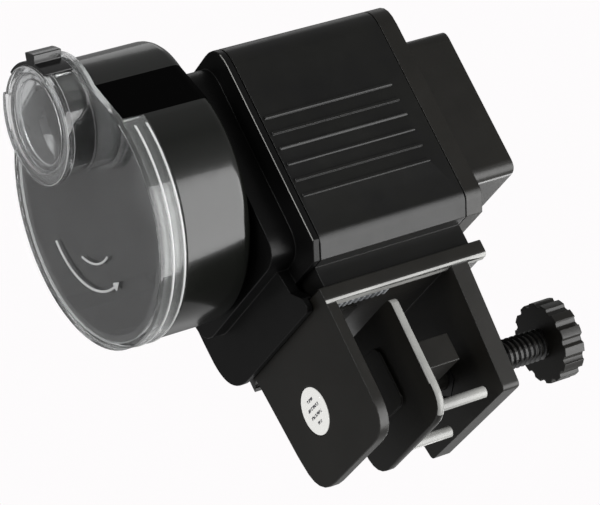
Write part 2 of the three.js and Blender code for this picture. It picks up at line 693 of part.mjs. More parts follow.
function endCap() {
  const plate = slab(housingOutline(), "x", CAP_RIGHT - CAP_PLATE, CAP_RIGHT);
  const rim = slab(housingOutline(), "x", HOUSE_RIGHT + GAP, CAP_RIGHT).subtract(
    slab(housingOutline(SHELL_WALL), "x", HOUSE_RIGHT - 1, CAP_RIGHT - CAP_PLATE),
  );
  const spigot = slab(housingOutline(SHELL_WALL + GAP), "x", HOUSE_RIGHT - 2.5, CAP_RIGHT - 1).subtract(
    slab(housingOutline(SHELL_WALL + GAP + THIN_WALL), "x", HOUSE_RIGHT - 4, CAP_RIGHT - CAP_PLATE),
  );
  const wireHole = block([HOUSE_RIGHT, CAP_RIGHT + 1], [-8, 8], [HEAD_BASE + 11, HEAD_BASE + 21]);
  const holes = headPillars.map((at) => bar("x", SCREW_SHANK_R + GAP, HOUSE_RIGHT, CAP_RIGHT + 1, at, 8));
  return cut(joined(plate, rim, spigot), wireHole, ...holes);
}
const headPillars = [-1, 1].flatMap((side) => [
  [side * (HEAD_SIDE - 3.7), HEAD_BASE + 3.7],
  [side * (HEAD_SIDE - 3.7), HEAD_TOP - 3.7],
]);

const HEAD_LEFT = CAP_RIGHT + GAP;
const FACE = HEAD_RIGHT - WALL;
const BUTTONS = {
  button_set: [-9, HEAD_BASE + 17],
  button_up: [9, HEAD_BASE + 17],
  button_feed: [-9, HEAD_BASE + 7.4],
  button_down: [9, HEAD_BASE + 7.4],
};

function controlHead() {
  const outline = (inset) =>
    rectangle(-HEAD_SIDE + inset, HEAD_SIDE - inset, HEAD_BASE + inset, HEAD_TOP - inset, HEAD_RADIUS - inset / 2);
  const shell = slab(outline(0), "x", HEAD_LEFT, HEAD_RIGHT).subtract(slab(outline(THIN_WALL), "x", HEAD_LEFT - 1, FACE));
  const columns = headPillars.map((at) => bar("x", 2.5, HEAD_LEFT, FACE + 0.5, at, 16));
  const bores = headPillars.map((at) => bar("x", SCREW_SHANK_R + GAP, HEAD_LEFT - 1, HEAD_LEFT + 5, at, 8));
  const buttonHoles = Object.values(BUTTONS).map((at) => bar("x", BUTTON_R + GAP, FACE - 1, HEAD_RIGHT + 1, at));
  const low = WINDOW_MID - WINDOW_HIGH / 2;
  const high = WINDOW_MID + WINDOW_HIGH / 2;
  const window = block([FACE - 1, HEAD_RIGHT + 1], [-WINDOW_HALF, WINDOW_HALF], [low, high]);
  const lensSeat = block([HEAD_RIGHT - 1.2, HEAD_RIGHT + 1], [-WINDOW_HALF - 1, WINDOW_HALF + 1], [low - 1, high + 1]);
  return cut(joined(shell, ...columns), ...bores, ...buttonHoles, window, lensSeat);
}

const BUTTON_BACK = FACE - GAP - 3.6;
function button(at) {
  const cap = bar("x", BUTTON_R, FACE - 2, HEAD_RIGHT + BUTTON_PROUD, at);
  const collar = bar("x", BUTTON_R + 1, FACE - GAP - 1.4, FACE - GAP, at);
  const stalk = bar("x", 1.3, BUTTON_BACK, FACE - 1, at, 8);
  return joined(cap, collar, stalk);
}

const BOARD_LEFT = CAP_RIGHT + 5.6;
const BOARD_RIGHT = BOARD_LEFT + 1.6;
function tactSwitch([y, z]) {
  const base = block([BOARD_RIGHT + 0.1, BUTTON_BACK - BUTTON_TRAVEL - 1], [y - 3, y + 3], [z - 3, z + 3]);
  const stem = bar("x", 1.6, BUTTON_BACK - BUTTON_TRAVEL - 1.5, BUTTON_BACK - BUTTON_TRAVEL - 0.1, [y, z], 12);
  return joined(base, stem);
}

function machineScrew(at, headLeft, tip) {
  const towardsLeft = tip < headLeft;
  const head = towardsLeft ? [headLeft, headLeft + SCREW_HEAD] : [headLeft - SCREW_HEAD, headLeft];
  const shank = towardsLeft ? [tip, headLeft + 0.2] : [headLeft - 0.2, tip];
  return joined(bar("x", SCREW_HEAD_R, ...head, at, 12), bar("x", SCREW_SHANK_R, ...shank, at, 8));
}

place(housing, "main_shell", mainShell(), black);
place(housing, "battery_door", batteryDoor(), black);
place(housing, "gearbox_cover", gearboxCover(), black);
place(housing, "end_cap", endCap(), black);
place(housing, "control_head", controlHead(), black);
place(
  housing,
  "display_lens",
  block(
    [HEAD_RIGHT - 1.1, HEAD_RIGHT - 0.1],
    [-WINDOW_HALF - 1 + GAP, WINDOW_HALF + 1 - GAP],
    [WINDOW_MID - WINDOW_HIGH / 2 - 1 + GAP, WINDOW_MID + WINDOW_HIGH / 2 + 1 - GAP],
  ),
  clear,
);
place(
  housing,
  "display_module",
  block(
    [BOARD_RIGHT + 0.1, FACE - GAP],
    [-WINDOW_HALF - 2, WINDOW_HALF + 2],
    [WINDOW_MID - WINDOW_HIGH / 2 - 0.8, WINDOW_MID + WINDOW_HIGH / 2 + 2],
  ),
  liquid,
);
place(
  housing,
  "circuit_board",
  block([BOARD_LEFT, BOARD_RIGHT], [-HEAD_SIDE + 6.6, HEAD_SIDE - 6.6], [HEAD_BASE + 2.2, HEAD_TOP - 2.2]),
  board,
);
for (const [name, at] of Object.entries(BUTTONS)) {
  place(housing, name, button(at), keyGrey);
  place(housing, name.replace("button", "switch"), tactSwitch(at), softBlack);
}
headPillars.forEach((at, i) =>
  place(housing, `head_screw_${i + 1}`, machineScrew(at, CAP_RIGHT - CAP_PLATE - 0.1, HEAD_LEFT + 4.6), steel),
);
pillars.forEach((at, i) =>
  place(housing, `gearbox_screw_${i + 1}`, machineScrew(at, WALL_INNER + 0.1, LAYER_1 + 0.6), steel),
);

// ---------------------------------------------------------------- batteries

const CONTACT = 0.5;
const CELL_TOP = CELL_FLOOR + CELL_LONG + CELL_NUB;

function cell(side, noseUp) {
  const at = [CELL_X + (side * CELL_PITCH) / 2, CELL_Y];
  const low = noseUp ? CELL_FLOOR : CELL_FLOOR + CELL_NUB;
  const nose = noseUp ? [low + CELL_LONG - 0.2, CELL_TOP] : [CELL_FLOOR, low + 0.2];
  return joined(bar("z", CELL_R, low, low + CELL_LONG, at, 32), bar("z", CELL_NUB_R, ...nose, at, 16));
}

// A leaf contact across the ends of the cells.
const leaf = (x0, x1, z) => block([x0, x1], [CELL_Y - 4, CELL_Y + 4], [z, z + CONTACT]);

place(housing, "battery_left", cell(-1, true), cellSkin);
place(housing, "battery_right", cell(1, false), cellSkin);
place(housing, "contact_bridge", leaf(CELL_X - CELL_PITCH + 3, CELL_X + CELL_PITCH - 3, CELL_TOP + 0.2), steel);
place(housing, "contact_minus", leaf(CELL_X - CELL_PITCH + 3, CELL_X - 2, CELL_FLOOR - CONTACT - 0.3), steel);
place(housing, "contact_plus", leaf(CELL_X + 2, CELL_X + CELL_PITCH - 3, CELL_FLOOR - CONTACT - 0.3), steel);

// ---------------------------------------------------------------- gear train

// Every pair below is in mesh at rest; the drum's gear is the reference.
const outputPhase = 0;
const pinionAPhase = meshPhase(WHEEL_TEETH, outputPhase, PINION_TEETH, OUTPUT, IDLER_A);
const pinionBPhase = meshPhase(WHEEL_TEETH, 0, PINION_TEETH, IDLER_A, IDLER_B);
const motorPhase = meshPhase(WHEEL_TEETH, 0, PINION_TEETH, IDLER_B, MOTOR);
const boreFor = (at) => bar("x", PIN_R + 0.1, BOX_INNER - 1, HOUSE_LEFT + 1, at, 16);

function idlerA() {
  const pinion = gear(PINION_TEETH, pinionAPhase, IDLER_A, LAYER_1);
  const wheel = gear(WHEEL_TEETH, 0, IDLER_A, LAYER_2);
  const hub = bar("x", HUB_R, LAYER_1 + 0.5, HOUSE_LEFT - 0.4, IDLER_A, 16);
  return joined(pinion, wheel, hub).subtract(boreFor(IDLER_A));
}

function idlerB() {
  const hub = bar("x", HUB_R, LAYER_1, HOUSE_LEFT - 0.4, IDLER_B, 16);
  const pinion = gear(PINION_TEETH, pinionBPhase, IDLER_B, LAYER_2);
  const wheel = gear(WHEEL_TEETH, 0, IDLER_B, LAYER_3);
  return joined(hub, pinion, wheel).subtract(boreFor(IDLER_B));
}

function motorPinion() {
  const teeth = gear(PINION_TEETH, motorPhase, MOTOR, LAYER_3);
  return joined(teeth, bar("x", MOTOR_SHAFT_R, LAYER_3 + 0.5, WALL_INNER + 2.6, MOTOR, 16));
}

function motorCan() {
  const left = WALL_INNER + GAP;
  const can = bar("x", MOTOR_R, left, left + MOTOR_LONG, MOTOR, 32);
  const tail = bar("x", 3.2, left + MOTOR_LONG - 0.5, left + MOTOR_LONG + 1.6, MOTOR);
  return cut(joined(can, tail), bar("x", MOTOR_SHAFT_R + 0.4, left - 1, left + 3.4, MOTOR, 16));
}

place(housing, "motor_can", motorCan(), steel);
place(housing, "motor_pinion", motorPinion(), brass);
place(housing, "idler_gear_a", idlerA(), nylon);
place(housing, "idler_gear_b", idlerB(), nylon);
place(housing, "idler_pin_a", bar("x", PIN_R, BOX_INNER - 0.6, HOUSE_LEFT + 1.1, IDLER_A, 16), steel);
place(housing, "idler_pin_b", bar("x", PIN_R, BOX_INNER - 0.6, HOUSE_LEFT + 1.1, IDLER_B, 16), steel);
place(
  housing,
  "rear_bush",
  tube("x", BUSH_R, SHAFT_R + 0.1, HOUSE_LEFT + 0.2, WALL_INNER + 0.6, OUTPUT),
  brass,
);
place(
  housing,
  "front_bush",
  tube("x", JOURNAL_R + 0.1 + 1.6, JOURNAL_R + 0.1, BOSS_X + 0.05, BOX_INNER - 0.05, OUTPUT),
  brass,
);
place(housing, "home_switch", block([WALL_INNER + GAP, 3], [-15, -8.5], [DRUM_AXIS - 5, DRUM_AXIS + 5]), softBlack);

// ---------------------------------------------------------------- drum, about its own axis with the lobe up

const SOCKET_DEEP = 7;
const HUB_WALL = 2.4;

function driveShaft() {
  const rearEnd = WALL_INNER + 3.4;
  const rod = bar("x", SHAFT_R, LAYER_1 - 0.4, rearEnd);
  const journal = bar("x", JOURNAL_R, BOSS_X - 0.6, LAYER_1 - 0.1);
  const dog = bar("x", HEX_R, DRUM_REAR - SOCKET_DEEP, BOSS_X - 0.3, [0, 0], 6);
  return joined(rod, journal, dog);
}

function outputGear() {
  const wheel = slab(gearOutline(WHEEL_TEETH, outputPhase - radians(DRUM_TILT)), "x", LAYER_1, LAYER_1 + GEAR_THICK);
  return wheel.subtract(bar("x", SHAFT_R + 0.1, LAYER_1 - 1, LAYER_1 + GEAR_THICK + 1));
}

// A notched wheel that tells the switch when the drum is home.
function homeCam() {
  const left = WALL_INNER + 1;
  const wheel = bar("x", 6.2, left, left + 1.8, [0, 0], 32);
  const notch = bar("x", 1.6, left - 1, left + 3, [6.2, 0], 12);
  return cut(wheel, notch, bar("x", SHAFT_R + 0.1, left - 1, left + 3));
}

function drumShell() {
  const body = slab(shellOutline(DRUM_R, 0), "x", DRUM_FRONT, DRUM_REAR, 40);
  const hollow = slab(
    shellOutline(DRUM_R - DRUM_WALL - SKIRT_WALL - GAP, DRUM_WALL),
    "x",
    DRUM_FRONT - 1,
    DRUM_REAR - DRUM_WALL,
    40,
  );
  const step = tube("x", DRUM_R + 2, COVER_R - SKIRT_WALL - GAP, DRUM_FRONT - 1, DRUM_STEP, [0, 0], 48);
  const hub = bar("x", HEX_R + HUB_WALL, DRUM_REAR - SOCKET_DEEP - 2.2, DRUM_REAR - 0.5);
  const socket = bar("x", HEX_R + GAP, DRUM_REAR - SOCKET_DEEP - 0.6, DRUM_REAR + 1, [0, 0], 6);
  const shell = body.subtract(hollow).subtract(step.subtract(lobeKeep(0)));
  return joined(shell, hub).subtract(socket);
}

// The space that belongs to the lobe: there the drum wall runs on to the cover with no step.
function lobeKeep(grow) {
  const reach = radians(FLANK_ANGLE);
  const far = 2 * DRUM_R;
  const outline = new THREE.Shape();
  outline.moveTo(0, -grow);
  outline.lineTo(far * Math.sin(reach) + grow, far * Math.cos(reach));
  outline.lineTo(-far * Math.sin(reach) - grow, far * Math.cos(reach));
  return slab(outline, "x", DRUM_FRONT - 5, DRUM_REAR);
}

function drumCover() {
  const plate = slab(drumOutline(COVER_R, LOBE_R + GAP), "x", COVER_FRONT, COVER_FRONT + COVER_THICK, 40);
  const skirt = tube("x", COVER_R, COVER_R - SKIRT_WALL, COVER_FRONT + 1, DRUM_STEP - GAP, [0, 0], 48).subtract(
    lobeKeep(GAP * 2),
  );
  const lobeCentre = [0, LOBE_OFFSET];
  const barrel = bar("x", BARREL_R, BARREL_FRONT, COVER_FRONT + 0.5, lobeCentre, 32);
  const foot = bar("x", BARREL_R + 0.5, COVER_FRONT - 0.5, COVER_FRONT + 0.5, lobeCentre, 32);
  const bore = bar("x", BARREL_R - BARREL_WALL, BARREL_FRONT - 1, COVER_FRONT + COVER_THICK + 1, lobeCentre, 32);
  const port = slab(
    arcBand(BARREL_R + 2, BARREL_R - BARREL_WALL - 2, PORT_FROM, PORT_TO),
    "x",
    BARREL_FRONT + 1.6,
    COVER_FRONT - 1,
  );
  return cut(joined(plate, skirt, barrel, foot), bore, port);
}

function dosingCap() {
  const lobeCentre = [0, LOBE_OFFSET];
  const right = BARREL_FRONT - GAP / 3;
  const disc = bar("x", BARREL_R, CAP_FRONT + 0.5, CAP_FRONT + 0.5 + CAP_DISC, lobeCentre, 32);
  const rim = tube("x", CAP_R, BARREL_R - 1.4, CAP_FRONT, right, lobeCentre, 32);
  const plugOuter = BARREL_R - BARREL_WALL - GAP;
  const plugInner = plugOuter - BARREL_WALL;
  const plug = tube("x", plugOuter, plugInner, CAP_FRONT + 1, BARREL_FRONT + 1.2, lobeCentre, 32);
  const web = tube("x", BARREL_R - 1, plugInner, CAP_FRONT + 1, right, lobeCentre, 32);
  const sliderRoom = slab(
    arcBand(CAP_R + 2, BARREL_R + 0.2, -SLIDER_HALF - SLIDER_TRAVEL - 2, SLIDER_HALF + 2),
    "x",
    CAP_FRONT - 1,
    right + 1,
  );
  return joined(disc, rim, plug, web).subtract(sliderRoom);
}

function doseSlider() {
  const inner = BARREL_R + 0.3;
  const left = CAP_FRONT + 0.5;
  const right = COVER_FRONT - 0.5 - GAP;
  const plate = slab(arcBand(inner + SLIDER_WALL, inner, -SLIDER_HALF, SLIDER_HALF), "x", left, right);
  const tab = slab(arcBand(inner + SLIDER_WALL + TAB_PROUD, inner + 0.3, TAB_FROM, TAB_TO), "x", left, right, 4);
  return joined(plate, tab);
}

place(drum, "drive_shaft", driveShaft(), steel);
place(drum, "output_gear", outputGear(), nylon);
place(drum, "home_cam", homeCam(), nylon);
place(drum, "drum_shell", drumShell(), smoke);
place(drum, "drum_cover", drumCover(), clear);
place(drum, "dosing_cap", dosingCap(), clear);
place(drum, "dose_slider", doseSlider(), black);

export default feeder;
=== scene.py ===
# %% [markdown]
# # A drum feeder for an aquarium
# The feeder clamps on the rim of a tank. A black housing holds two cells, a clock and a small motor, and
# the motor turns a smoked food drum with a clear cover. The moulded shells and the moving parts come from a
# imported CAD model. This file gives them soft edges, fine mouldings and finishes, and sets them in a plain
# studio.

import math

import bpy
from mathutils import Matrix, Vector


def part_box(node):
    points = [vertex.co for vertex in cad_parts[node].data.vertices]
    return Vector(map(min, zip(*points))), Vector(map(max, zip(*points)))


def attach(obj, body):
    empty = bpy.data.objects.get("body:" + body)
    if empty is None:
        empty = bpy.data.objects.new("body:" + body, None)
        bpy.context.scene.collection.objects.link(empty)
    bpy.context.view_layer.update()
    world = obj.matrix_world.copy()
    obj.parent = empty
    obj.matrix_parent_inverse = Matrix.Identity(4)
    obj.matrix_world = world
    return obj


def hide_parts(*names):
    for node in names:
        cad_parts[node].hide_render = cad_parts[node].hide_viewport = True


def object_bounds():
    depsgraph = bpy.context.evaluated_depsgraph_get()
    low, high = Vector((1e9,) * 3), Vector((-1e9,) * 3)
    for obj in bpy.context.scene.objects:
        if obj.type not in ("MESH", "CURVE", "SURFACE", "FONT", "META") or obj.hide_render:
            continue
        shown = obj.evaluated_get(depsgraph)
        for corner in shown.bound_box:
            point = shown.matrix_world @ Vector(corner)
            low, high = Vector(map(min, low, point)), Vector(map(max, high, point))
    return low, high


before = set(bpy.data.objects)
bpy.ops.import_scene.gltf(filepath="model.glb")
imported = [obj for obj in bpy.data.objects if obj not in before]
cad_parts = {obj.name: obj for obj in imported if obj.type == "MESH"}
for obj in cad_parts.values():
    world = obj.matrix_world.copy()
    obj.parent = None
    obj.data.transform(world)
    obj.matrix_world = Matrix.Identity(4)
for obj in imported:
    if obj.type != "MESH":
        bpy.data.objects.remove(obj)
cad_low, cad_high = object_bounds()
MM = 0.001
scene = bpy.context.scene
print("The model measures", [round(side / MM, 1) for side in cad_high - cad_low], "mm")

# %% [markdown]
# ## The camera
# The feeder is seen from its front left corner, from a little below the tank's rim, with the camera rolled
# so that the drum hangs low. A long lens far away keeps the edges nearly parallel, as in a catalogue
# picture. The camera's three axes are worked out from its heading, its tilt and its roll, because that is
# how a tripod head is set.

# %% Camera
HEADING = math.radians(-31.585)
TILT = math.radians(-15.813)
ROLL = math.radians(26.1)
CAMERA_PLACE = Vector((-0.3978, -0.65892, -0.19689))
LENS = 202.78
SENSOR_WIDE = 36


def camera_turn(heading, tilt, roll):
    """A turn whose columns are the camera's right, up and backward directions."""
    level = math.cos(tilt)
    backward = Vector((math.sin(heading) * level, -math.cos(heading) * level, math.sin(tilt)))
    level_right = Vector((0, 0, 1)).cross(backward).normalized()
    level_up = backward.cross(level_right)
    right = level_right * math.cos(roll) - level_up * math.sin(roll)
    upward = level_right * math.sin(roll) + level_up * math.cos(roll)
    return Matrix((right, upward, backward)).transposed().to_4x4()


bpy.ops.object.camera_add()
camera = bpy.context.object
camera.matrix_world = Matrix.Translation(CAMERA_PLACE) @ camera_turn(HEADING, TILT, ROLL)
camera.data.sensor_width = SENSOR_WIDE
camera.data.lens = LENS
scene.camera = camera
print("The camera is", round(camera.location.length, 3), "m from the rim of the tank")

# %% [markdown]
# ## One small class for shader sums
# A shader is a sum: light grain here, more gloss there. Written as Math nodes one by one, the sum is hard
# to read. A Wire wraps one output socket, so Python's own signs add the nodes. A Tree adds any other node
# with one method, and a Finish is a material's Tree, with the patterns that the finishes share.

# %% Wires, trees and finishes


class Wire:
    """An output socket whose sums become Math nodes."""

    def __init__(self, tree, socket):
        self.tree = tree
        self.socket = socket

    def sum(self, operation, left, right):
        return self.tree.node("ShaderNodeMath", {"operation": operation}, {0: left, 1: right})

    def __add__(self, other):
        return self.sum("ADD", self, other)

    def __radd__(self, other):
        return self.sum("ADD", other, self)

    def __sub__(self, other):
        return self.sum("SUBTRACT", self, other)

    def __rsub__(self, other):
        return self.sum("SUBTRACT", other, self)

    def __mul__(self, other):
        return self.sum("MULTIPLY", self, other)

    def __rmul__(self, other):
        return self.sum("MULTIPLY", other, self)

    def __gt__(self, other):
        return self.sum("GREATER_THAN", self, other)

    def __lt__(self, other):
        return self.sum("LESS_THAN", self, other)


def set_stops(ramp, stops):
    """Gives a colour ramp its grey stops, each a place and a shade."""
    while len(ramp.elements) < len(stops):
        ramp.elements.new(1)
    for element, (place, shade) in zip(ramp.elements, stops):
        element.position = place
        element.color = (shade, shade, shade, 1)


class Tree:
    """A node tree that grows by one node at a time."""

    def __init__(self, owner):
        owner.use_nodes = True
        self.nodes = owner.node_tree.nodes
        self.links = owner.node_tree.links

    def node(self, kind, settings=None, sockets=None, out=0):
        """Adds one node: its settings first, then the values or wires of its sockets."""
        made = self.nodes.new(kind)
        for key, value in (settings or {}).items():
            if key == "stops":
                set_stops(made.color_ramp, value)
            else:
                setattr(made, key, value)
        for key, value in (sockets or {}).items():
            self.join(value, made.inputs[key])
        return Wire(self, made.outputs[out])

    def join(self, value, socket):
        if isinstance(value, Wire):
            self.links.new(value.socket, socket)
        else:
            socket.default_value = value

    def surface(self, wire):
        """What the tree's output shows."""
        output = next(n for n in self.nodes if n.type.startswith("OUTPUT"))
        self.join(wire, output.inputs["Surface"])


class Finish(Tree):
    """A material with one Principled shader and any number of nodes before it."""

    def __init__(self, name, **constants):
        self.material = bpy.data.materials.new(name)
        super().__init__(self.material)
        self.shader = next(n for n in self.nodes if n.type == "BSDF_PRINCIPLED")
        self.feed(**constants)

    def feed(self, **sockets):
        """Values and wires go to the shader's named sockets."""
        for name, value in sockets.items():
            self.join(value, self.shader.inputs[name.replace("_", " ")])

    def place(self):
        return self.node("ShaderNodeTexCoord", out="Object")

    def place_on(self, axis):
        """One part of the place, by the axis's letter."""
        return self.node("ShaderNodeSeparateXYZ", {}, {0: self.place()}, out=axis)

    def noise(self, size, detail=3.0, rough=0.5):
        """Soft cloudy noise whose lumps are about size metres across."""
        return self.node(
            "ShaderNodeTexNoise",
            {},
            {"Vector": self.place(), "Scale": 1 / size, "Detail": detail, "Roughness": rough},
        )

    def ramp(self, wire, stops):
        return self.node("ShaderNodeValToRGB", {"stops": stops}, {0: wire})

    def blend(self, share, first, second):
        """A colour between first and second. A Mix node takes colours at 6 and 7 and gives one at 2."""
        colours = {"Factor": share, 6: first, 7: second}
        return self.node("ShaderNodeMix", {"data_type": "RGBA"}, colours, out=2)

    def bump(self, height, depth, under=None):
        sockets = {"Height": height, "Distance": depth, "Strength": 1.0}
        if under is not None:
            sockets["Normal"] = under
        return self.node("ShaderNodeBump", {}, sockets)

    def round_edge(self, radius):
        """A normal that rounds the sharp edges by a small radius."""
        return self.node("ShaderNodeBevel", {"samples": 4}, {"Radius": radius})


print("Finishes are made with", Finish.__name__, "and summed with", Wire.__name__)

# %% [markdown]
# ## The studio
# The feeder stands in a white studio. The floor is pale, and is drawn only from above, so that a camera
# under the rim still sees the feeder. It stays out of reflections, so that the soft boxes alone shape the
# gloss, and it glows a little, because the air is dim as a lamp and the floor would otherwise look grey. A
# wide box low at the front lights the drum and the chamfers, a narrow one on each side draws the edges, and
# a small one lights the lobe.

# %% Floor, air and soft boxes
FLOOR_HALF = 2.0
FLOOR_GAP = 0.2 * MM
FLOOR_GLOW = 0.42
WHITE = (1, 1, 1, 1)
AIR_SEEN = (0.983, 0.967, 0.974, 1)
AIR_STOPS = [(0.0, 0.25), (0.2, 0.45), (0.36, 0.7), (0.5, 0.3), (0.64, 0.15), (0.85, 0.32), (1.0, 0.3)]
SOFT_BOXES = [
    # name, direction from the feeder, distance, width, height, radiance
    ("low_front_box", (0.50, -0.47, -0.62), 0.8, 0.7, 0.92, 4.6),
    ("left_edge_box", (-0.80, -0.49, 0.27), 0.9, 0.25, 0.5, 8.0),
    ("right_edge_box", (0.78, 0.60, -0.1), 0.9, 0.35, 0.5, 3.5),
    ("lobe_box", (0.5, 0.25, 0.83), 1.0, 0.35, 0.3, 0.8),
]


def pale_floor():
    bpy.ops.mesh.primitive_plane_add(size=2 * FLOOR_HALF, location=(0, 0, cad_low.z - FLOOR_GAP))
    floor = bpy.context.object
    floor.name = "floor"
    paint = Finish("pale_floor", Roughness=0.9, Emission_Color=WHITE, Emission_Strength=FLOOR_GLOW)
    paint.feed(Base_Color=paint.blend(paint.noise(0.3), (0.86, 0.86, 0.86, 1), (0.9, 0.9, 0.9, 1)))
    behind = paint.node("ShaderNodeNewGeometry", out="Backfacing")
    clear = paint.node("ShaderNodeBsdfTransparent")
    painted = Wire(paint, paint.shader.outputs[0])
    paint.surface(paint.node("ShaderNodeMixShader", {}, {0: behind, 1: painted, 2: clear}))
    floor.data.materials.append(paint.material)
    floor.visible_glossy = False
    floor.visible_diffuse = False
    floor.visible_transmission = False
    floor.visible_shadow = False


def studio_air(stops):
    """White where it is looked at or through. As light it is brightest from a little below."""
    scene.world = bpy.data.worlds.new("air")
    air = Tree(scene.world)
    towards = air.node("ShaderNodeTexCoord", out="Generated")
    height = air.node("ShaderNodeSeparateXYZ", {}, {0: towards}, out="Z")
    shade = air.node("ShaderNodeValToRGB", {"stops": stops}, {0: height * 0.5 + 0.5})
    lit = air.node("ShaderNodeBackground", {}, {"Color": shade})
    seen = air.node("ShaderNodeBackground", {}, {"Color": AIR_SEEN})
    looked_at = air.node("ShaderNodeLightPath", out="Is Camera Ray")
    looked_through = air.node("ShaderNodeLightPath", out="Is Transmission Ray")
    direct = air.node("ShaderNodeMath", {"operation": "MAXIMUM"}, {0: looked_at, 1: looked_through})
    air.surface(air.node("ShaderNodeMixShader", {}, {0: direct, 1: lit, 2: seen}))


def soft_box(name, towards, distance, wide, high, radiance):
    """A flat lamp that faces the middle of the feeder, of a given brightness."""
    middle = (cad_low + cad_high) / 2
    direction = Vector(towards).normalized()
    lamp = bpy.data.lights.new(name, "AREA")
    lamp.shape = "RECTANGLE"
    lamp.size = wide
    lamp.size_y = high
    lamp.energy = radiance * math.pi * wide * high
    box = bpy.data.objects.new(name, lamp)
    scene.collection.objects.link(box)
    box.location = middle + direction * distance
    box.rotation_mode = "QUATERNION"
    box.rotation_quaternion = direction.to_track_quat("Z", "Y")
    box.visible_camera = False


pale_floor()
studio_air(AIR_STOPS)
for box in SOFT_BOXES:
    soft_box(*box)
scene.view_settings.view_transform = "Standard"

# %% [markdown]
# ## Moulded black plastic
# ABS that comes out of a spark-eroded mould has a fine, even grain, so its highlights are wide and its
# edges soft. The colour is never quite even: flow in the mould leaves broad faint clouds, and handling
# leaves duller patches. One recipe makes all the black parts, and its numbers say how coarse the grain is
# and how much it shines.

# %% The recipe for moulded plastic


CLOUD_SIZE = 14 * MM
SCUFF_SIZE = 5 * MM


def moulded_plastic(name, dark, pale, rough, grain, depth, edge=0.3 * MM, **constants):
    """Plastic between two near colours, with grain of a given size and depth in metres."""
    finish = Finish(name, **constants)
    clouds = finish.noise(CLOUD_SIZE, 4)
    specks = finish.noise(grain, 2, 0.6)
    worn = finish.ramp(finish.noise(SCUFF_SIZE, 6, 0.65), [(0.45, 0), (0.75, 1)])
    colour = finish.blend(finish.ramp(clouds, [(0.3, 0), (0.7, 1)]), dark, pale)
    finish.feed(
        Base_Color=colour,
        Roughness=rough + (specks - 0.5) * 0.12 + worn * 0.05,
        Normal=finish.bump(specks, depth, finish.round_edge(edge)),
    )
    return finish.material


housing_black = moulded_plastic(
    "housing_black",
    (0.004, 0.004, 0.004, 1),
    (0.007, 0.007, 0.006, 1),
    0.34,
    0.35 * MM,
    0.008 * MM,
    Specular_IOR_Level=0.38,
)
gearbox_black = moulded_plastic(
    "gearbox_black",
    (0.002, 0.002, 0.002, 1),
    (0.004, 0.004, 0.004, 1),
    0.36,
    0.35 * MM,
    0.008 * MM,
    Specular_IOR_Level=0.22,
)
clamp_black = moulded_plastic(
    "clamp_black", (0.006, 0.0055, 0.004, 1), (0.010, 0.009, 0.007, 1), 0.38, 0.45 * MM, 0.010 * MM
)
gloss_black = moulded_plastic(
    "gloss_black",
    (0.005, 0.005, 0.005, 1),
    (0.008, 0.008, 0.008, 1),
    0.2,
    0.9 * MM,
    0.004 * MM,
    Coat_Weight=0.3,
)
key_grey = moulded_plastic(
    "key_grey", (0.22, 0.23, 0.24, 1), (0.27, 0.28, 0.29, 1), 0.5, 0.4 * MM, 0.012 * MM
)
white_nylon = moulded_plastic(
    "white_nylon", (0.74, 0.72, 0.66, 1), (0.80, 0.78, 0.72, 1), 0.45, 0.5 * MM, 0.008 * MM
)
# Painted highlight: a pale grey for rounded edges of black plastic where the light catches them.
painted_highlight_edge = moulded_plastic(
    "painted_highlight_edge", (0.26, 0.26, 0.25, 1), (0.42, 0.42, 0.40, 1), 0.3, 0.6 * MM, 0.004 * MM
)
# Painted highlight: a pale grey for the drum's creases and the jaw's black pins, where they catch the light.
painted_highlight_grey = moulded_plastic(
    "painted_highlight_grey", (0.30, 0.30, 0.29, 1), (0.42, 0.42, 0.40, 1), 0.28, 0.6 * MM, 0.004 * MM
)
print("Moulded plastics are ready")

# %% [markdown]
# ## Smoked and clear plastic
# The drum is tinted polystyrene. Light hardly gets through its wall, so it reads as deep grey gloss. The
# cover and the cap are clear, with a little haze, so the drum's edge and the barrel show through and every
# rim gleams. Real clear mouldings have faint flow lines, so a slow noise bends their surface by a few
# thousandths of a millimetre.

# %% The recipe for see-through plastic


SWIRL_SIZE = 9 * MM
MARK_SIZE = 2.5 * MM


def glassy_plastic(name, tint, clear_share, rough, ripple, edge=0.3 * MM, **constants):
    """Glossy plastic that lets a share of the light through."""
    finish = Finish(name, Transmission_Weight=clear_share, IOR=1.5, **constants)
    swirls = finish.noise(SWIRL_SIZE, 2)
    marks = finish.ramp(finish.noise(MARK_SIZE, 5, 0.7), [(0.5, 0), (0.8, 1)])
    paler = tuple(min(1, part * 1.18) for part in tint[:3]) + (1,)
    finish.feed(
        Base_Color=finish.blend(swirls, tint, paler),
        Roughness=rough + marks * 0.05,
        Normal=finish.bump(swirls, ripple, finish.round_edge(edge)),
    )
    return finish.material


smoked = glassy_plastic("smoked", (0.006, 0.0065, 0.0055, 1), 0.0, 0.17, 0.05 * MM, Coat_Weight=0.2)
# Painted shade: a darker, matt copy of the smoked plastic for the drum's flanks, where the lobe shades them.
smoked_painted_shade = glassy_plastic(
    "smoked_painted_shade", (0.001, 0.001, 0.001, 1), 0.0, 0.6, 0.05 * MM, Specular_IOR_Level=0.02
)
clear_cover = glassy_plastic("clear_cover", (0.60, 0.61, 0.61, 1), 0.97, 0.05, 0.012 * MM)
# Painted glint: whiter, less clear copies of the clear plastic for the cover's skirt and the cap's rim.
clear_rim_painted_glint = glassy_plastic("clear_rim_painted_glint", (0.66, 0.68, 0.67, 1), 0.93, 0.12, 0.02 * MM)
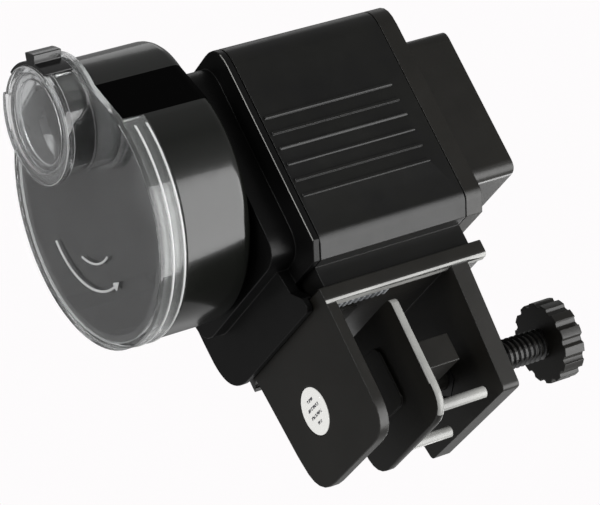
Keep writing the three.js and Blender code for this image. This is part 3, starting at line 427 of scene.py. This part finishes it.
# Painted glint: a whitish, half-clear finish for the cover's beads and its arrow.
painted_glint_ridge = glassy_plastic("painted_glint_ridge", (0.92, 0.93, 0.93, 1), 0.3, 0.15, 0.02 * MM)
clear_cap = glassy_plastic("clear_cap", (0.72, 0.73, 0.73, 1), 0.97, 0.05, 0.012 * MM)
cap_painted_glint = glassy_plastic("cap_painted_glint", (0.88, 0.89, 0.89, 1), 0.6, 0.1, 0.02 * MM)
display_glass = glassy_plastic("display_glass", (0.85, 0.88, 0.88, 1), 0.9, 0.03, 0.01 * MM)
print("See-through plastics are ready")

# %% [markdown]
# ## Metals, paper, board and the rest
# Turned and pressed metal shows fine parallel tool marks, so its noise is stretched along one axis. Paper
# is a matte white with faint fibres, and its print is a few plain bars, because the words on such a sticker
# mean nothing here. The board is green lacquer, and the cells wear a printed sleeve with a band at one end.

# %% Other finishes


def tooled_metal(name, colour, rough, along):
    """Metal with fine tool marks. Along says how much the marks are drawn out on X, Y and Z."""
    finish = Finish(name, Metallic=1.0)
    drawn = finish.node("ShaderNodeMapping", {}, {"Vector": finish.place(), "Scale": along})
    marks = finish.node("ShaderNodeTexNoise", {}, {"Vector": drawn, "Scale": 1.0, "Detail": 4.0})
    duller = tuple(part * 0.8 for part in colour[:3]) + (1,)
    finish.feed(
        Base_Color=finish.blend(marks, duller, colour),
        Roughness=rough + (marks - 0.5) * 0.2,
        Normal=finish.bump(marks, 0.01 * MM),
    )
    return finish.material


def bar_print(finish, middle, half_wide, half_high):
    """A mask that is 1 inside one printed bar on a face that looks along X."""
    sideways = finish.place_on("Y") - middle[0]
    upwards = finish.place_on("Z") - middle[1]
    near_y = finish.node("ShaderNodeMath", {"operation": "ABSOLUTE"}, {0: sideways}) < half_wide
    near_z = finish.node("ShaderNodeMath", {"operation": "ABSOLUTE"}, {0: upwards}) < half_high
    return near_y * near_z


ROW_HALVES = (1.5, 2.9, 2.9, 1.1)
ROW_PITCH = 1.9 * MM


def sticker_paper_painted_glow(low, high):
    """White paper with four printed bars, with a painted glow that makes it brighter."""
    # Painted glow: the paper gives off a little light of its own colour.
    finish = Finish("sticker_paper_painted_glow", Emission_Strength=0.3)
    middle = (low + high) / 2
    fibres = finish.noise(0.4 * MM, 6, 0.7)
    ink = 0
    for row, half in enumerate(ROW_HALVES):
        spot = (middle.y, middle.z + (1.5 - row) * ROW_PITCH)
        ink = bar_print(finish, spot, half * MM, 0.38 * MM) + ink
    ink = ink * finish.ramp(finish.noise(0.5 * MM, 2), [(0.42, 0), (0.5, 1)])
    white = finish.blend(fibres, (0.80, 0.79, 0.76, 1), (0.9, 0.9, 0.88, 1))
    printed = finish.blend(ink, white, (0.05, 0.05, 0.06, 1))
    finish.feed(
        Base_Color=printed,
        Emission_Color=printed,
        Roughness=0.5 + fibres * 0.2,
        Normal=finish.bump(fibres, 0.01 * MM),
    )
    return finish.material


def lacquered_board():
    """Green lacquer over broad copper tracks, on a fine weave."""
    finish = Finish("board_green", Coat_Weight=0.4)
    tracks = finish.ramp(finish.noise(3 * MM, 0), [(0.49, 0), (0.5, 1)])
    weave = finish.noise(0.5 * MM, 2)
    finish.feed(
        Base_Color=finish.blend(tracks, (0.010, 0.085, 0.030, 1), (0.016, 0.13, 0.045, 1)),
        Roughness=0.35 + weave * 0.1,
        Normal=finish.bump(tracks, 0.03 * MM),
    )
    return finish.material


BAND_FROM = 0.72


def cell_sleeve(low, high):
    """A printed sleeve with a band at its upper end."""
    finish = Finish("cell_sleeve", Coat_Weight=0.5)
    band = finish.place_on("Z") > low.z + (high.z - low.z) * BAND_FROM
    scuffs = finish.noise(2 * MM, 5, 0.7)
    finish.feed(
        Base_Color=finish.blend(band, (0.02, 0.07, 0.2, 1), (0.55, 0.38, 0.12, 1)),
        Roughness=0.25 + scuffs * 0.2,
        Normal=finish.bump(scuffs, 0.005 * MM),
    )
    return finish.material


DIGIT_PLACES = (-6.6, -3.6, 1.2, 4.2)
SEGMENT_ROWS = (-1.5, 1.5)
SEGMENT_SIDES = (-0.9, 0.9)


def display_panel(low, high):
    """Grey liquid crystal with dark segments in two rows."""
    finish = Finish("display_panel")
    middle = (low + high) / 2
    dark = 0
    for place in DIGIT_PLACES:
        for rise in SEGMENT_ROWS:
            for side in SEGMENT_SIDES:
                spot = (middle.y + (place + side) * MM, middle.z + rise * MM)
                dark = bar_print(finish, spot, 0.22 * MM, 1.1 * MM) + dark
    glow = finish.noise(6 * MM, 2)
    grey = finish.blend(glow, (0.30, 0.34, 0.27, 1), (0.36, 0.40, 0.32, 1))
    finish.feed(Base_Color=finish.blend(dark, grey, (0.03, 0.035, 0.03, 1)), Roughness=0.3 + glow * 0.1)
    return finish.material


DRAWN_ALONG_X = (300, 4000, 4000)
TURNED_ABOUT_X = (4000, 600, 600)
steel = tooled_metal("steel", (0.62, 0.62, 0.63, 1), 0.32, DRAWN_ALONG_X)
dark_steel = tooled_metal("dark_steel", (0.10, 0.10, 0.10, 1), 0.4, DRAWN_ALONG_X)
brass = tooled_metal("brass", (0.75, 0.58, 0.28, 1), 0.3, TURNED_ABOUT_X)
print("Metals, paper and board are ready")

# %% [markdown]
# ## Soft edges
# No moulding leaves its tool with a knife edge, and it is the small radius along an edge that catches the
# light and draws the shape. A CAD node's mesh is copied, its loose triangles are merged and the flat ones
# dissolved into whole faces. Then a Bevel modifier rounds the long sharp edges, and weighted normals keep
# the flats flat. The copy stands for the node. Bevelling every edge would crush the small holes and teeth,
# so short edges are left alone.

# %% Helpers that copy a node and round its edges


MERGE_WITHIN = 0.002 * MM
FLAT_WITHIN = math.radians(0.6)
SMOOTH_BELOW = math.radians(38)


def only(thing):
    """Selects one object and nothing else."""
    bpy.ops.object.select_all(action="DESELECT")
    thing.select_set(True)
    bpy.context.view_layer.objects.active = thing
    return thing


def shown_as(piece, body, finish, slot, *nodes):
    """Gives a piece its finish and its body, and hides the nodes it stands for. Its slot is not used."""
    piece.data.materials.clear()
    piece.data.materials.append(finish)
    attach(piece, body)
    if nodes:
        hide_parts(*nodes)
    return piece


def whole_copy(node, name):
    """A copy of a node with its triangles merged into whole faces."""
    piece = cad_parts[node].copy()
    piece.data = piece.data.copy()
    piece.name = name
    piece.parent = None
    for key in list(piece.keys()):
        del piece[key]
    scene.collection.objects.link(piece)
    only(piece)
    bpy.ops.object.mode_set(mode="EDIT")
    bpy.ops.mesh.select_all(action="SELECT")
    bpy.ops.mesh.remove_doubles(threshold=MERGE_WITHIN)
    bpy.ops.mesh.dissolve_limited(angle_limit=FLAT_WITHIN)
    bpy.ops.object.mode_set(mode="OBJECT")
    return piece


def mark_long_edges(piece, sharp, short):
    """Weights the sharp edges whose ends meet no edge shorter than short, and counts them."""
    mesh = piece.data
    shortest = [1.0] * len(mesh.vertices)
    for edge in mesh.edges:
        first, second = (mesh.vertices[corner].co for corner in edge.vertices)
        for corner in edge.vertices:
            shortest[corner] = min(shortest[corner], (first - second).length)
    faces_at = {edge.key: [] for edge in mesh.edges}
    for face in mesh.polygons:
        for key in face.edge_keys:
            faces_at[key].append(face.normal)
    weights = mesh.attributes.new("bevel_weight_edge", "FLOAT", "EDGE")
    count = 0
    for edge in mesh.edges:
        normals = faces_at[edge.key]
        if len(normals) != 2 or normals[0].angle(normals[1], 0) < sharp:
            continue
        if min(shortest[corner] for corner in edge.vertices) < short:
            continue
        weights.data[edge.index].value = 1.0
        count += 1
    return count


def soften(piece, width, sharp=35, steps=2):
    """Rounds a piece's long sharp edges and shades it. Sharp is an angle in degrees."""
    count = mark_long_edges(piece, math.radians(sharp), 2.1 * width)
    only(piece)
    bevel = piece.modifiers.new("edges", "BEVEL")
    bevel.limit_method = "WEIGHT"
    bevel.width = width
    bevel.segments = steps
    bpy.ops.object.modifier_apply(modifier="edges")
    bpy.ops.object.shade_smooth_by_angle(angle=SMOOTH_BELOW)
    flats = piece.modifiers.new("flats", "WEIGHTED_NORMAL")
    flats.keep_sharp = True
    bpy.ops.object.modifier_apply(modifier="flats")
    print(piece.name, "has", len(piece.data.polygons), "faces, with", count, "edges rounded")
    return piece


print("The helpers copy, merge and round")

# %% [markdown]
# ## The mouldings
# Every shell that shows is softened by about the radius it has on the real object: less on the clear cover,
# whose rims are crisp, and more on the clamp, which is a coarser moulding. Some edges are rounder than the
# rest, such as the ones along the housing's chamfer, the clamp's front edges and the drum's back rim. They
# are found by their place and direction and rounded first, because a wide radius has to be there before the
# narrow ones meet it.

# %% Round chosen edges


def round_chosen(piece, wanted, width, steps=4):
    """Bevels every edge whose two ends, in millimetres, pass the test wanted(first, second)."""
    only(piece)
    bpy.ops.object.mode_set(mode="EDIT")
    bpy.ops.mesh.select_mode(type="EDGE")
    bpy.ops.mesh.select_all(action="DESELECT")
    bpy.ops.object.mode_set(mode="OBJECT")
    mesh = piece.data
    count = 0
    for edge in mesh.edges:
        first, second = (mesh.vertices[corner].co / MM for corner in edge.vertices)
        edge.select = bool(wanted(first, second))
        count += edge.select
    bpy.ops.object.mode_set(mode="EDIT")
    bpy.ops.mesh.bevel(offset=width * MM, segments=steps, affect="EDGES")
    bpy.ops.object.mode_set(mode="OBJECT")
    print(piece.name, "has", count, "edges rounded by", width, "mm")


def along_x(first, second, least):
    """Whether an edge runs along X for at least so many millimetres."""
    way = second - first
    return abs(way.x) > least and abs(way.y) + abs(way.z) < 0.01


def across_x(first, second, value, slack=0.02):
    """Whether an edge lies in the plane at one X."""
    return abs(first.x - value) < slack and abs(second.x - value) < slack


def low_of(node):
    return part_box(node)[0] / MM


def high_of(node):
    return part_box(node)[1] / MM


AXIS_HEIGHT = (low_of("output_gear").z + high_of("output_gear").z) / 2


def spread(place):
    """How far a place is from the drum's axis."""
    return math.hypot(place.y, place.z - AXIS_HEIGHT)


print("The drum's axis is at", round(AXIS_HEIGHT, 2), "mm")

# %% [markdown]
# ## The copies and their widest edges
# Twelve nodes show enough of themselves to need soft edges, and each gets a copy with a name of its own. Four
# of them have an edge that is plainly rounder than the rest. Each such edge has a small test, and all the
# numbers in the tests are millimetres on the real feeder.

# %% Copy the shells and round their widest edges first
COPY_NAMES = {
    "main_shell": "housing_shell",
    "gearbox_cover": "gearbox_shell",
    "end_cap": "end_shell",
    "control_head": "clock_shell",
    "battery_door": "battery_lid",
    "clamp_bracket": "clamp_frame",
    "pressure_plate": "clamp_jaw",
    "clamp_knob": "scalloped_knob",
    "drum_shell": "food_drum",
    "drum_cover": "food_cover",
    "dosing_cap": "dose_cap",
    "dose_slider": "dose_gate",
}
copies = {node: whole_copy(node, name) for node, name in COPY_NAMES.items()}
house_front = low_of("gearbox_cover").y
plate_low = low_of("pressure_plate")
rail_front = low_of("clamp_bracket").y
drum_back = high_of("drum_shell").x
RIBS_FROM = 17  # the housing's grip ribs start above this height
FRONT_DEPTH = 0.6  # how far behind the housing's front its corner still reaches
RAIL_HALF = 2.5  # half the rail's height
JAW_FACES = (0.6, 2.6)  # the two broad faces of the jaw, from its lowest X
JAW_FRONT = 8.1  # how far its rounded front reaches back
JAW_LOW = -24  # its lower edge is below this height
DRUM_RIM = 30  # the drum's back is rounded only this far out from its axis


def chamfer_edge(long):
    """A test for edges along X on the housing's front chamfer, below the ribs."""
    return lambda a, b: (
        along_x(a, b, long) and abs(a.y - house_front) < FRONT_DEPTH and a.z < RIBS_FROM
    )


def jaw_edge(face):
    """A test for the front and lower edges of one of the jaw's broad faces."""
    return lambda a, b: (
        across_x(a, b, plate_low.x + face)
        and min(a.y, b.y) < plate_low.y + JAW_FRONT
        and (max(a.y, b.y) < plate_low.y + 0.05 or max(a.z, b.z) < JAW_LOW)
    )


def rail_edge(a, b):
    """The front edges of the clamp's rail."""
    return along_x(a, b, 10) and abs(a.y - rail_front) < 0.05 and abs(a.z) < RAIL_HALF


def drum_back_edge(a, b):
    """The outer edge of the drum's back."""
    return across_x(a, b, drum_back) and min(spread(a), spread(b)) > DRUM_RIM


round_chosen(copies["main_shell"], chamfer_edge(20), 1.4)
round_chosen(copies["end_cap"], chamfer_edge(2), 1.4)
for face in JAW_FACES:
    round_chosen(copies["pressure_plate"], jaw_edge(face), 0.75, 3)
round_chosen(copies["clamp_bracket"], rail_edge, 1.3)
round_chosen(copies["drum_shell"], drum_back_edge, 3.2, 6)
print("The drum's back rim is at", round(drum_back, 2), "mm")

# %% [markdown]
# ## The narrow edges
# Now every copy has its other edges rounded, rides on its body, and stands for its node. The table gives the
# radius, the finish and the slot of each, so that one loop can do the work.

# %% Soften the rest
SHELLS = [
    # node, body, finish, slot, radius in millimetres
    ("main_shell", "housing", housing_black, "black_satin", 0.35),
    ("gearbox_cover", "housing", gearbox_black, "black_satin", 0.45),
    ("end_cap", "housing", clamp_black, "black_satin", 0.4),
    ("control_head", "housing", clamp_black, "black_satin", 0.4),
    ("battery_door", "door", housing_black, "black_satin", 0.35),
    ("clamp_bracket", "bracket", clamp_black, "black_textured", 0.3),
    ("pressure_plate", "jaw", clamp_black, "black_textured", 0.3),
    ("clamp_knob", "screw", clamp_black, "black_textured", 0.25),
    ("drum_shell", "drum", smoked, "smoked_plastic", 0.25),
    ("drum_cover", "cover", clear_cover, "clear_plastic", 0.25),
    ("dosing_cap", "cap", clear_cap, "clear_plastic", 0.25),
    ("dose_slider", "slider", gloss_black, "black_satin", 0.2),
]
for node, body, finish, slot, width in SHELLS:
    shown_as(soften(copies[node], width * MM), body, finish, slot, node)
print(len(SHELLS), "shells are softened")

# %% [markdown]
# ## Faces with a second finish
# The drum's flanks take a darker, matt finish, painted shade for the lobe's shadow on them, and the drum's
# creases beside them, like the clamp's and the housing's front edges, are painted pale as painted highlights.
# The jaw's pins are painted pale grey, a painted reflection on their black plastic. The clear cover's skirt
# and the cap's rim take a whiter, less clear finish, a painted glint. Such a face stays in its piece and takes
# a second material slot, because on the real object it is one moulding. It is found by its middle and its
# normal.

# %% Give chosen faces a second finish


def refinish(node, finish, wanted):
    """Faces of a node's copy whose middle, in millimetres, and normal pass a test take a finish."""
    piece = copies[node]
    piece.data.materials.append(finish)
    slot = len(piece.data.materials) - 1
    count = 0
    for face in piece.data.polygons:
        if wanted(face.center / MM, face.normal):
            face.material_index = slot
            count += 1
    print(piece.name, "has", count, "faces in", finish.name)


LOBE_MIDDLE = (low_of("dosing_cap") + high_of("dosing_cap")) / 2
LOBE_LEAN = math.atan2(-LOBE_MIDDLE.y, LOBE_MIDDLE.z - AXIS_HEIGHT)
FLANK_FACING = (0.566, 0.825)
FLANK_SPREAD = 28  # the flank is nowhere nearer the drum's axis
FLANK_FROM = 12  # nor nearer the lobe's middle line
FACING_SLACK = 0.08
CREASES = ((12.64, 30.8), (22.88, 23.36))  # across the lobe and along it, from the drum's axis
CREASE_HALF = 0.4


def beside_lobe(way):
    """The parts of a direction that lie across and along the lobe's own direction."""
    sideways = way.y * math.cos(LOBE_LEAN) + way.z * math.sin(LOBE_LEAN)
    return abs(sideways), way.z * math.cos(LOBE_LEAN) - way.y * math.sin(LOBE_LEAN)


def from_axis(place):
    return Vector((0, place.y, place.z - AXIS_HEIGHT))


def on_flank(place, normal):
    """A face of the lobe's flat flank, with the rounding at its ends."""
    if spread(place) < FLANK_SPREAD or beside_lobe(from_axis(place))[0] < FLANK_FROM:
        return False
    facing = beside_lobe(Vector((0, normal.y, normal.z)).normalized())
    return abs(normal.x) <= 0.9 and math.dist(facing, FLANK_FACING) < FACING_SLACK


def near_crease(place, normal):
    """A narrow face of the outer wall, beside an end of the flank."""
    beside = beside_lobe(from_axis(place))
    return abs(normal.x) < 0.1 and any(math.dist(beside, crease) < CREASE_HALF for crease in CREASES)


# The flanks take painted shade, and the narrow faces beside their creases a pale painted highlight.
refinish("drum_shell", smoked_painted_shade, on_flank)
refinish("drum_shell", painted_highlight_grey, near_crease)

# %% [markdown]
# ## Painted highlights on the clamp's pins and edges
# The jaw's pins stand out behind its plate, so they are all that lies past the plate's thickness and low down.
# An edge painted pale as a painted highlight is a rounding, so its faces have turned away from the flat ones
# beside them, and their normals tell them apart.

# %% Painted highlights on the clamp's pins and edges
PINS_FROM = 2.8  # the jaw's plate ends here, from its lowest X, and its pins start
PINS_BELOW = -28
TURNED = 0.35  # how much of a normal looks along an axis once a rounding has turned towards it


def on_pin(place, normal):
    """The lower part of the jaw, where the pins stand out behind its plate."""
    return place.x > plate_low.x + PINS_FROM and place.z < PINS_BELOW


def on_jaw_front(place, normal):
    """The jaw's rounded front edge."""
    across = place.x - plate_low.x
    near = place.y < plate_low.y + JAW_FRONT + 0.1 and JAW_FACES[0] < across < PINS_FROM
    return near and normal.y < -TURNED


def under_rail(place, normal):
    """The rounded lower edge along the front of the clamp's rail."""
    near = place.y < rail_front + 1.4 and abs(place.z) < RAIL_HALF
    return near and normal.z < -0.2 and abs(normal.x) < 0.2


# The jaw's pins take the pale grey as a painted reflection.
refinish("pressure_plate", painted_highlight_grey, on_pin)
# The jaw's front and the rail's lower edge take a pale painted highlight.
refinish("pressure_plate", painted_highlight_edge, on_jaw_front)
refinish("clamp_bracket", painted_highlight_edge, under_rail)

# %% [markdown]
# ## Corners, rim and skirt
# The housing's upright corners at the front are painted pale like the clamp's edges, as painted highlights.
# The clear parts take their whiter finish, a painted glint, where their wall is seen edge on: the cap round
# its front, and the cover all round its skirt.

# %% Painted highlights on the housing's corners, the cap's rim and the cover's skirt
FLANGE_TO = -3  # the gearbox cover's flange lies to the left of this X
RIM_DEPTH = 0.3
FLAT_FACING = 0.995  # the cap's flat face looks along X at least this much
SKIRT_SPREAD = 31.2  # the skirt is the part this far from the drum's axis
SKIRT_RISE = 27  # and no higher above the axis than this, where the lobe begins
cap_right = high_of("end_cap").x
cap_face = low_of("dosing_cap").x


def left_corner(place, normal):
    """The rounded upright corner at the front left of the gearbox cover's flange."""
    near = place.y < house_front + FRONT_DEPTH and place.x < FLANGE_TO
    return near and normal.x < -TURNED and normal.y < -TURNED


def right_corner(place, normal):
    """The rounded upright corner at the front right of the end cap."""
    near = place.y < house_front + FRONT_DEPTH and place.x > cap_right - FRONT_DEPTH
    return near and normal.x > TURNED and normal.y < -TURNED


def cap_rim(place, normal):
    """The narrow roundings at the front of the dosing cap, but not its flat face."""
    return place.x < cap_face + RIM_DEPTH and abs(normal.x) < FLAT_FACING


def cover_skirt(place, normal):
    """The cover's outer wall, up to where the lobe begins."""
    return spread(place) > SKIRT_SPREAD and place.z < AXIS_HEIGHT + SKIRT_RISE


# The housing's front corners take a pale painted highlight.
refinish("gearbox_cover", painted_highlight_edge, left_corner)
refinish("end_cap", painted_highlight_edge, right_corner)
# The cap's rim and the cover's skirt take a whiter painted glint.
refinish("dosing_cap", cap_painted_glint, cap_rim)
refinish("drum_cover", clear_rim_painted_glint, cover_skirt)

# %% [markdown]
# ## Small parts that keep their CAD shape
# Gears, cells, switches and screws are right as they come. Each gets its own finish in its material slots,
# and the pattern reads the object's own coordinates, so it stays put when the part turns.

# %% Finishes for the parts that stay
paper = sticker_paper_painted_glow(*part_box("inspection_sticker"))
board = lacquered_board()
panel = display_panel(*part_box("display_module"))
sleeve = cell_sleeve(*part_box("battery_left"))
KEPT = {
    "rim_grip": key_grey,
    "inspection_sticker": paper,
    "trapped_nut": dark_steel,
    "screw_clip": steel,
    "clamp_screw": clamp_black,
    "display_lens": display_glass,
    "display_module": panel,
    "circuit_board": board,
    "switch_": gloss_black,
    "home_switch": gloss_black,
    "button_": key_grey,
    "head_screw": steel,
    "gearbox_screw": steel,
    "battery_left": sleeve,
    "battery_right": sleeve,
    "contact_": steel,
    "motor_can": steel,
    "motor_pinion": brass,
    "idler_gear": white_nylon,
    "idler_pin": steel,
    "bush": brass,
    "drive_shaft": steel,
    "output_gear": white_nylon,
    "home_cam": white_nylon,
}
dressed = 0
for node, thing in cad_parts.items():
    for word, finish in KEPT.items():
        if word in node and node not in copies:
            thing.data.materials.clear()
            thing.data.materials.append(finish)
            dressed += 1
            break
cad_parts["inspection_sticker"].visible_glossy = False
print(dressed, "parts keep their shape and have a finish")

# %% [markdown]
# ## The thread on the clamp's screw
# The screw has a coarse moulded thread. A thread is one small ridge carried round the shank while it moves
# along, which is what the Screw modifier does with a profile. The profile is a narrow triangle whose foot
# is sunk in the shank, so the ridge and the shank read as one.

# %% Thread
screw_low, screw_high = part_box("clamp_screw")
SCREW_PITCH = 1.5 * MM
THREAD_FROM = screw_low.x + 20 * MM
THREAD_TURNS = 20
TURN_STEPS = 28
RIDGE_RADIUS = 0.62 * MM
RIDGE_RISE = 0.05 * MM  # the middle of the ridge stands this far off the shank


def screw_thread():
    """A ridge that winds along the shank, closed at both ends."""
    bpy.ops.object.select_all(action="DESELECT")
    axis_y = (screw_low.y + screw_high.y) / 2
    axis_z = (screw_low.z + screw_high.z) / 2
    shank = (screw_high.z - screw_low.z) / 2
    bpy.ops.mesh.primitive_circle_add(
        vertices=3, radius=RIDGE_RADIUS, location=(0, 0, 0), rotation=(math.pi / 2, 0, 0)
    )
    thread = bpy.context.object
    thread.name = "screw_ridge"
    bpy.ops.object.transform_apply(location=True, rotation=True, scale=True)
    bpy.ops.object.mode_set(mode="EDIT")
    bpy.ops.mesh.select_all(action="SELECT")
    bpy.ops.transform.translate(value=(0, 0, shank + RIDGE_RISE))
    bpy.ops.object.mode_set(mode="OBJECT")
    turn = thread.modifiers.new("turns", "SCREW")
    turn.axis = "X"
    turn.steps = turn.render_steps = TURN_STEPS
    turn.iterations = THREAD_TURNS
    turn.screw_offset = SCREW_PITCH
    bpy.ops.object.modifier_apply(modifier="turns")
    bpy.ops.object.mode_set(mode="EDIT")
    bpy.ops.mesh.select_mode(type="EDGE")
    bpy.ops.mesh.select_all(action="DESELECT")
    bpy.ops.mesh.select_non_manifold()
    bpy.ops.mesh.edge_face_add()
    bpy.ops.mesh.select_all(action="SELECT")
    bpy.ops.transform.translate(value=(THREAD_FROM, axis_y, axis_z))
    bpy.ops.mesh.normals_make_consistent(inside=False)
    bpy.ops.object.mode_set(mode="OBJECT")
    bpy.ops.object.shade_smooth_by_angle(angle=math.radians(50))
    return shown_as(thread, "screw", gloss_black, "black_satin")


ridge = screw_thread()
print("The thread has", len(ridge.data.polygons), "faces over", round(ridge.dimensions.x / MM, 1), "mm")

# %% [markdown]
# ## Rings for the arrow and the beads
# The cover turns to lock, and a raised curved arrow moulded in its face says which way. A torus is bisected
# down to an arc, which keeps a round section, and a small flattened cone makes the head. A shorter arc runs
# inside the long one. All are sunk in the face by about half their thickness.

# %% Rings round the drum's axis
FACE_X = low_of("drum_shell").x - 1.9  # the front of the clear cover's face
ROUND_BELOW = math.radians(50)


def ring(name, radius, thick, x, segments):
    """A ring of round section about the drum's axis, in millimetres."""
    bpy.ops.object.select_all(action="DESELECT")
    bpy.ops.mesh.primitive_torus_add(
        location=(x * MM, 0, AXIS_HEIGHT * MM),
        rotation=(0, math.pi / 2, 0),
        major_radius=radius * MM,
        minor_radius=thick * MM,
        major_segments=segments,
        minor_segments=8,
    )
    made = bpy.context.object
    made.name = name
    bpy.ops.object.transform_apply(location=True, rotation=True, scale=True)
    return made


def cut_away(place, way, inner=False):
    """Cuts the selected piece at a plane, closes the cut and drops what lies past it, or before it."""
    bpy.ops.object.mode_set(mode="EDIT")
    bpy.ops.mesh.select_all(action="SELECT")
    bpy.ops.mesh.bisect(
        plane_co=place, plane_no=way, clear_inner=inner, clear_outer=not inner, use_fill=True
    )
    bpy.ops.object.mode_set(mode="OBJECT")


print("The cover's face is at", round(FACE_X, 2), "mm")

# %% [markdown]
# ## The arrow itself
# Each end of an arc is one cut through the ring's middle. The head is added at the end of the long arc, turned
# to follow it, and pressed thin along X. Then the three are joined, because they are one moulding.

# %% Turn arrow
ARROW_RADIUS = 18.7
ARROW_START = -97
ARROW_SWEEP = 95
INNER_RADIUS = 12.1
ARROW_X = FACE_X - 0.02
HEAD_FLAT = 0.28  # how thin the head is against its width


def arc(name, radius, thick, start, sweep):
    """Part of a ring on the cover's face, over sweep degrees from start, measured from -Z towards -Y."""
    made = ring(name, radius, thick, ARROW_X, 96)
    for turn, side in ((start, 1), (start + sweep, -1)):
        angle = math.radians(turn)
        way = (0, -math.cos(angle) * side, math.sin(angle) * side)
        cut_away((ARROW_X * MM, 0, AXIS_HEIGHT * MM), way, inner=True)
    bpy.ops.object.shade_smooth_by_angle(angle=ROUND_BELOW)
    return made


def turn_arrow():
    """A raised arc with a head, and a shorter arc inside it, on the lower part of the cover's face."""
    inner = arc("cover_arc", INNER_RADIUS, 0.3, -58, 62)
    outer = arc("cover_arrow", ARROW_RADIUS, 0.34, ARROW_START, ARROW_SWEEP)
    angle = math.radians(ARROW_START + ARROW_SWEEP)
    tip = Vector(
        (ARROW_X, -ARROW_RADIUS * math.sin(angle), AXIS_HEIGHT - ARROW_RADIUS * math.cos(angle))
    ) * MM
    bpy.ops.mesh.primitive_cone_add(
        vertices=24,
        radius1=1.1 * MM,
        radius2=0.05 * MM,
        depth=2.6 * MM,
        location=tip,
        rotation=(math.pi / 2 - angle, 0, 0),
    )
    bpy.ops.object.transform_apply(location=True, rotation=True, scale=True)
    bpy.ops.object.mode_set(mode="EDIT")
    bpy.ops.mesh.select_all(action="SELECT")
    bpy.ops.transform.resize(value=(HEAD_FLAT, 1, 1), center_override=tip)
    bpy.ops.object.mode_set(mode="OBJECT")
    inner.select_set(True)
    outer.select_set(True)
    bpy.context.view_layer.objects.active = outer
    bpy.ops.object.join()
    # The arrow takes the same whitish finish, a painted glint.
    return shown_as(outer, "cover", painted_glint_ridge, "clear_plastic")


arrow = turn_arrow()
print("The arrow has", len(arrow.data.polygons), "faces")

# %% [markdown]
# ## Beads round the cover's skirt
# Two thin beads run round the skirt for the fingers. They catch the light, and their whitish finish adds a
# painted glint all the way round.
# Each bead is a torus with the lobe's part bisected away, so that it stops where the skirt does.

# %% Beads
BEAD_RADIUS = 32.88
BEAD_THICK = 0.3
BEAD_FLAT = 22.0  # from the drum's axis to the cut, towards the lobe


def bead(name, x):
    made = ring(name, BEAD_RADIUS, BEAD_THICK, x, 160)
    up = Vector((0, -math.sin(LOBE_LEAN), math.cos(LOBE_LEAN)))
    cut_away(Vector((0, 0, AXIS_HEIGHT * MM)) + up * BEAD_FLAT * MM, up)
    bpy.ops.object.shade_smooth_by_angle(angle=ROUND_BELOW)
    return shown_as(made, "cover", painted_glint_ridge, "clear_plastic")


beads = [bead("skirt_bead_front", FACE_X + 3.6), bead("skirt_bead_back", FACE_X + 6.6)]
print(len(beads), "beads")

# %% [markdown]
# ## Marks on the four keys
# The keys carry small raised marks that need no words: a six-sided spot to set, two wedges for up and down,
# and a round spot to feed. Each is a low primitive with its edge bevelled, set a little into the key's
# face.

# %% Key marks
MARK_THICK = 0.4 * MM
MARK_SUNK = 0.05 * MM
MARK_EDGE = 0.1 * MM


def key_mark(node, body, sides, size, turn):
    """A low prism whose flat faces look along X, with one corner turned the given way."""
    low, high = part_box(node)
    middle = (low + high) / 2
    bpy.ops.object.select_all(action="DESELECT")
    bpy.ops.mesh.primitive_cylinder_add(vertices=sides, radius=size, depth=MARK_THICK, location=(0, 0, 0))
    mark = bpy.context.object
    mark.name = "mark_" + node
    facing = Matrix.Rotation(turn, 4, "X") @ Matrix.Rotation(math.pi / 2, 4, "Y")
    mark.data.transform(Matrix.Translation((high.x - MARK_SUNK, middle.y, middle.z)) @ facing)
    edge = mark.modifiers.new("edge", "BEVEL")
    edge.width = MARK_EDGE
    edge.segments = 2
    bpy.ops.object.modifier_apply(modifier="edge")
    bpy.ops.object.shade_smooth_by_angle(angle=math.radians(40))
    return shown_as(mark, body, gloss_black, "black_satin")


MARKS = [
    # key, body, sides, radius in millimetres, turn
    ("button_set", "key_set", 6, 1.6, 0),
    ("button_up", "key_up", 3, 2.0, math.pi / 2),
    ("button_feed", "key_feed", 32, 1.9, 0),
    ("button_down", "key_down", 3, 2.0, -math.pi / 2),
]
for node, body, sides, radius, turn in MARKS:
    key_mark(node, body, sides, radius * MM, turn)
print(len(MARKS), "keys are marked")

# %% [markdown]
# ## The end
# Nothing is left selected at the end.

# %% The end
bpy.ops.object.select_all(action="DESELECT")
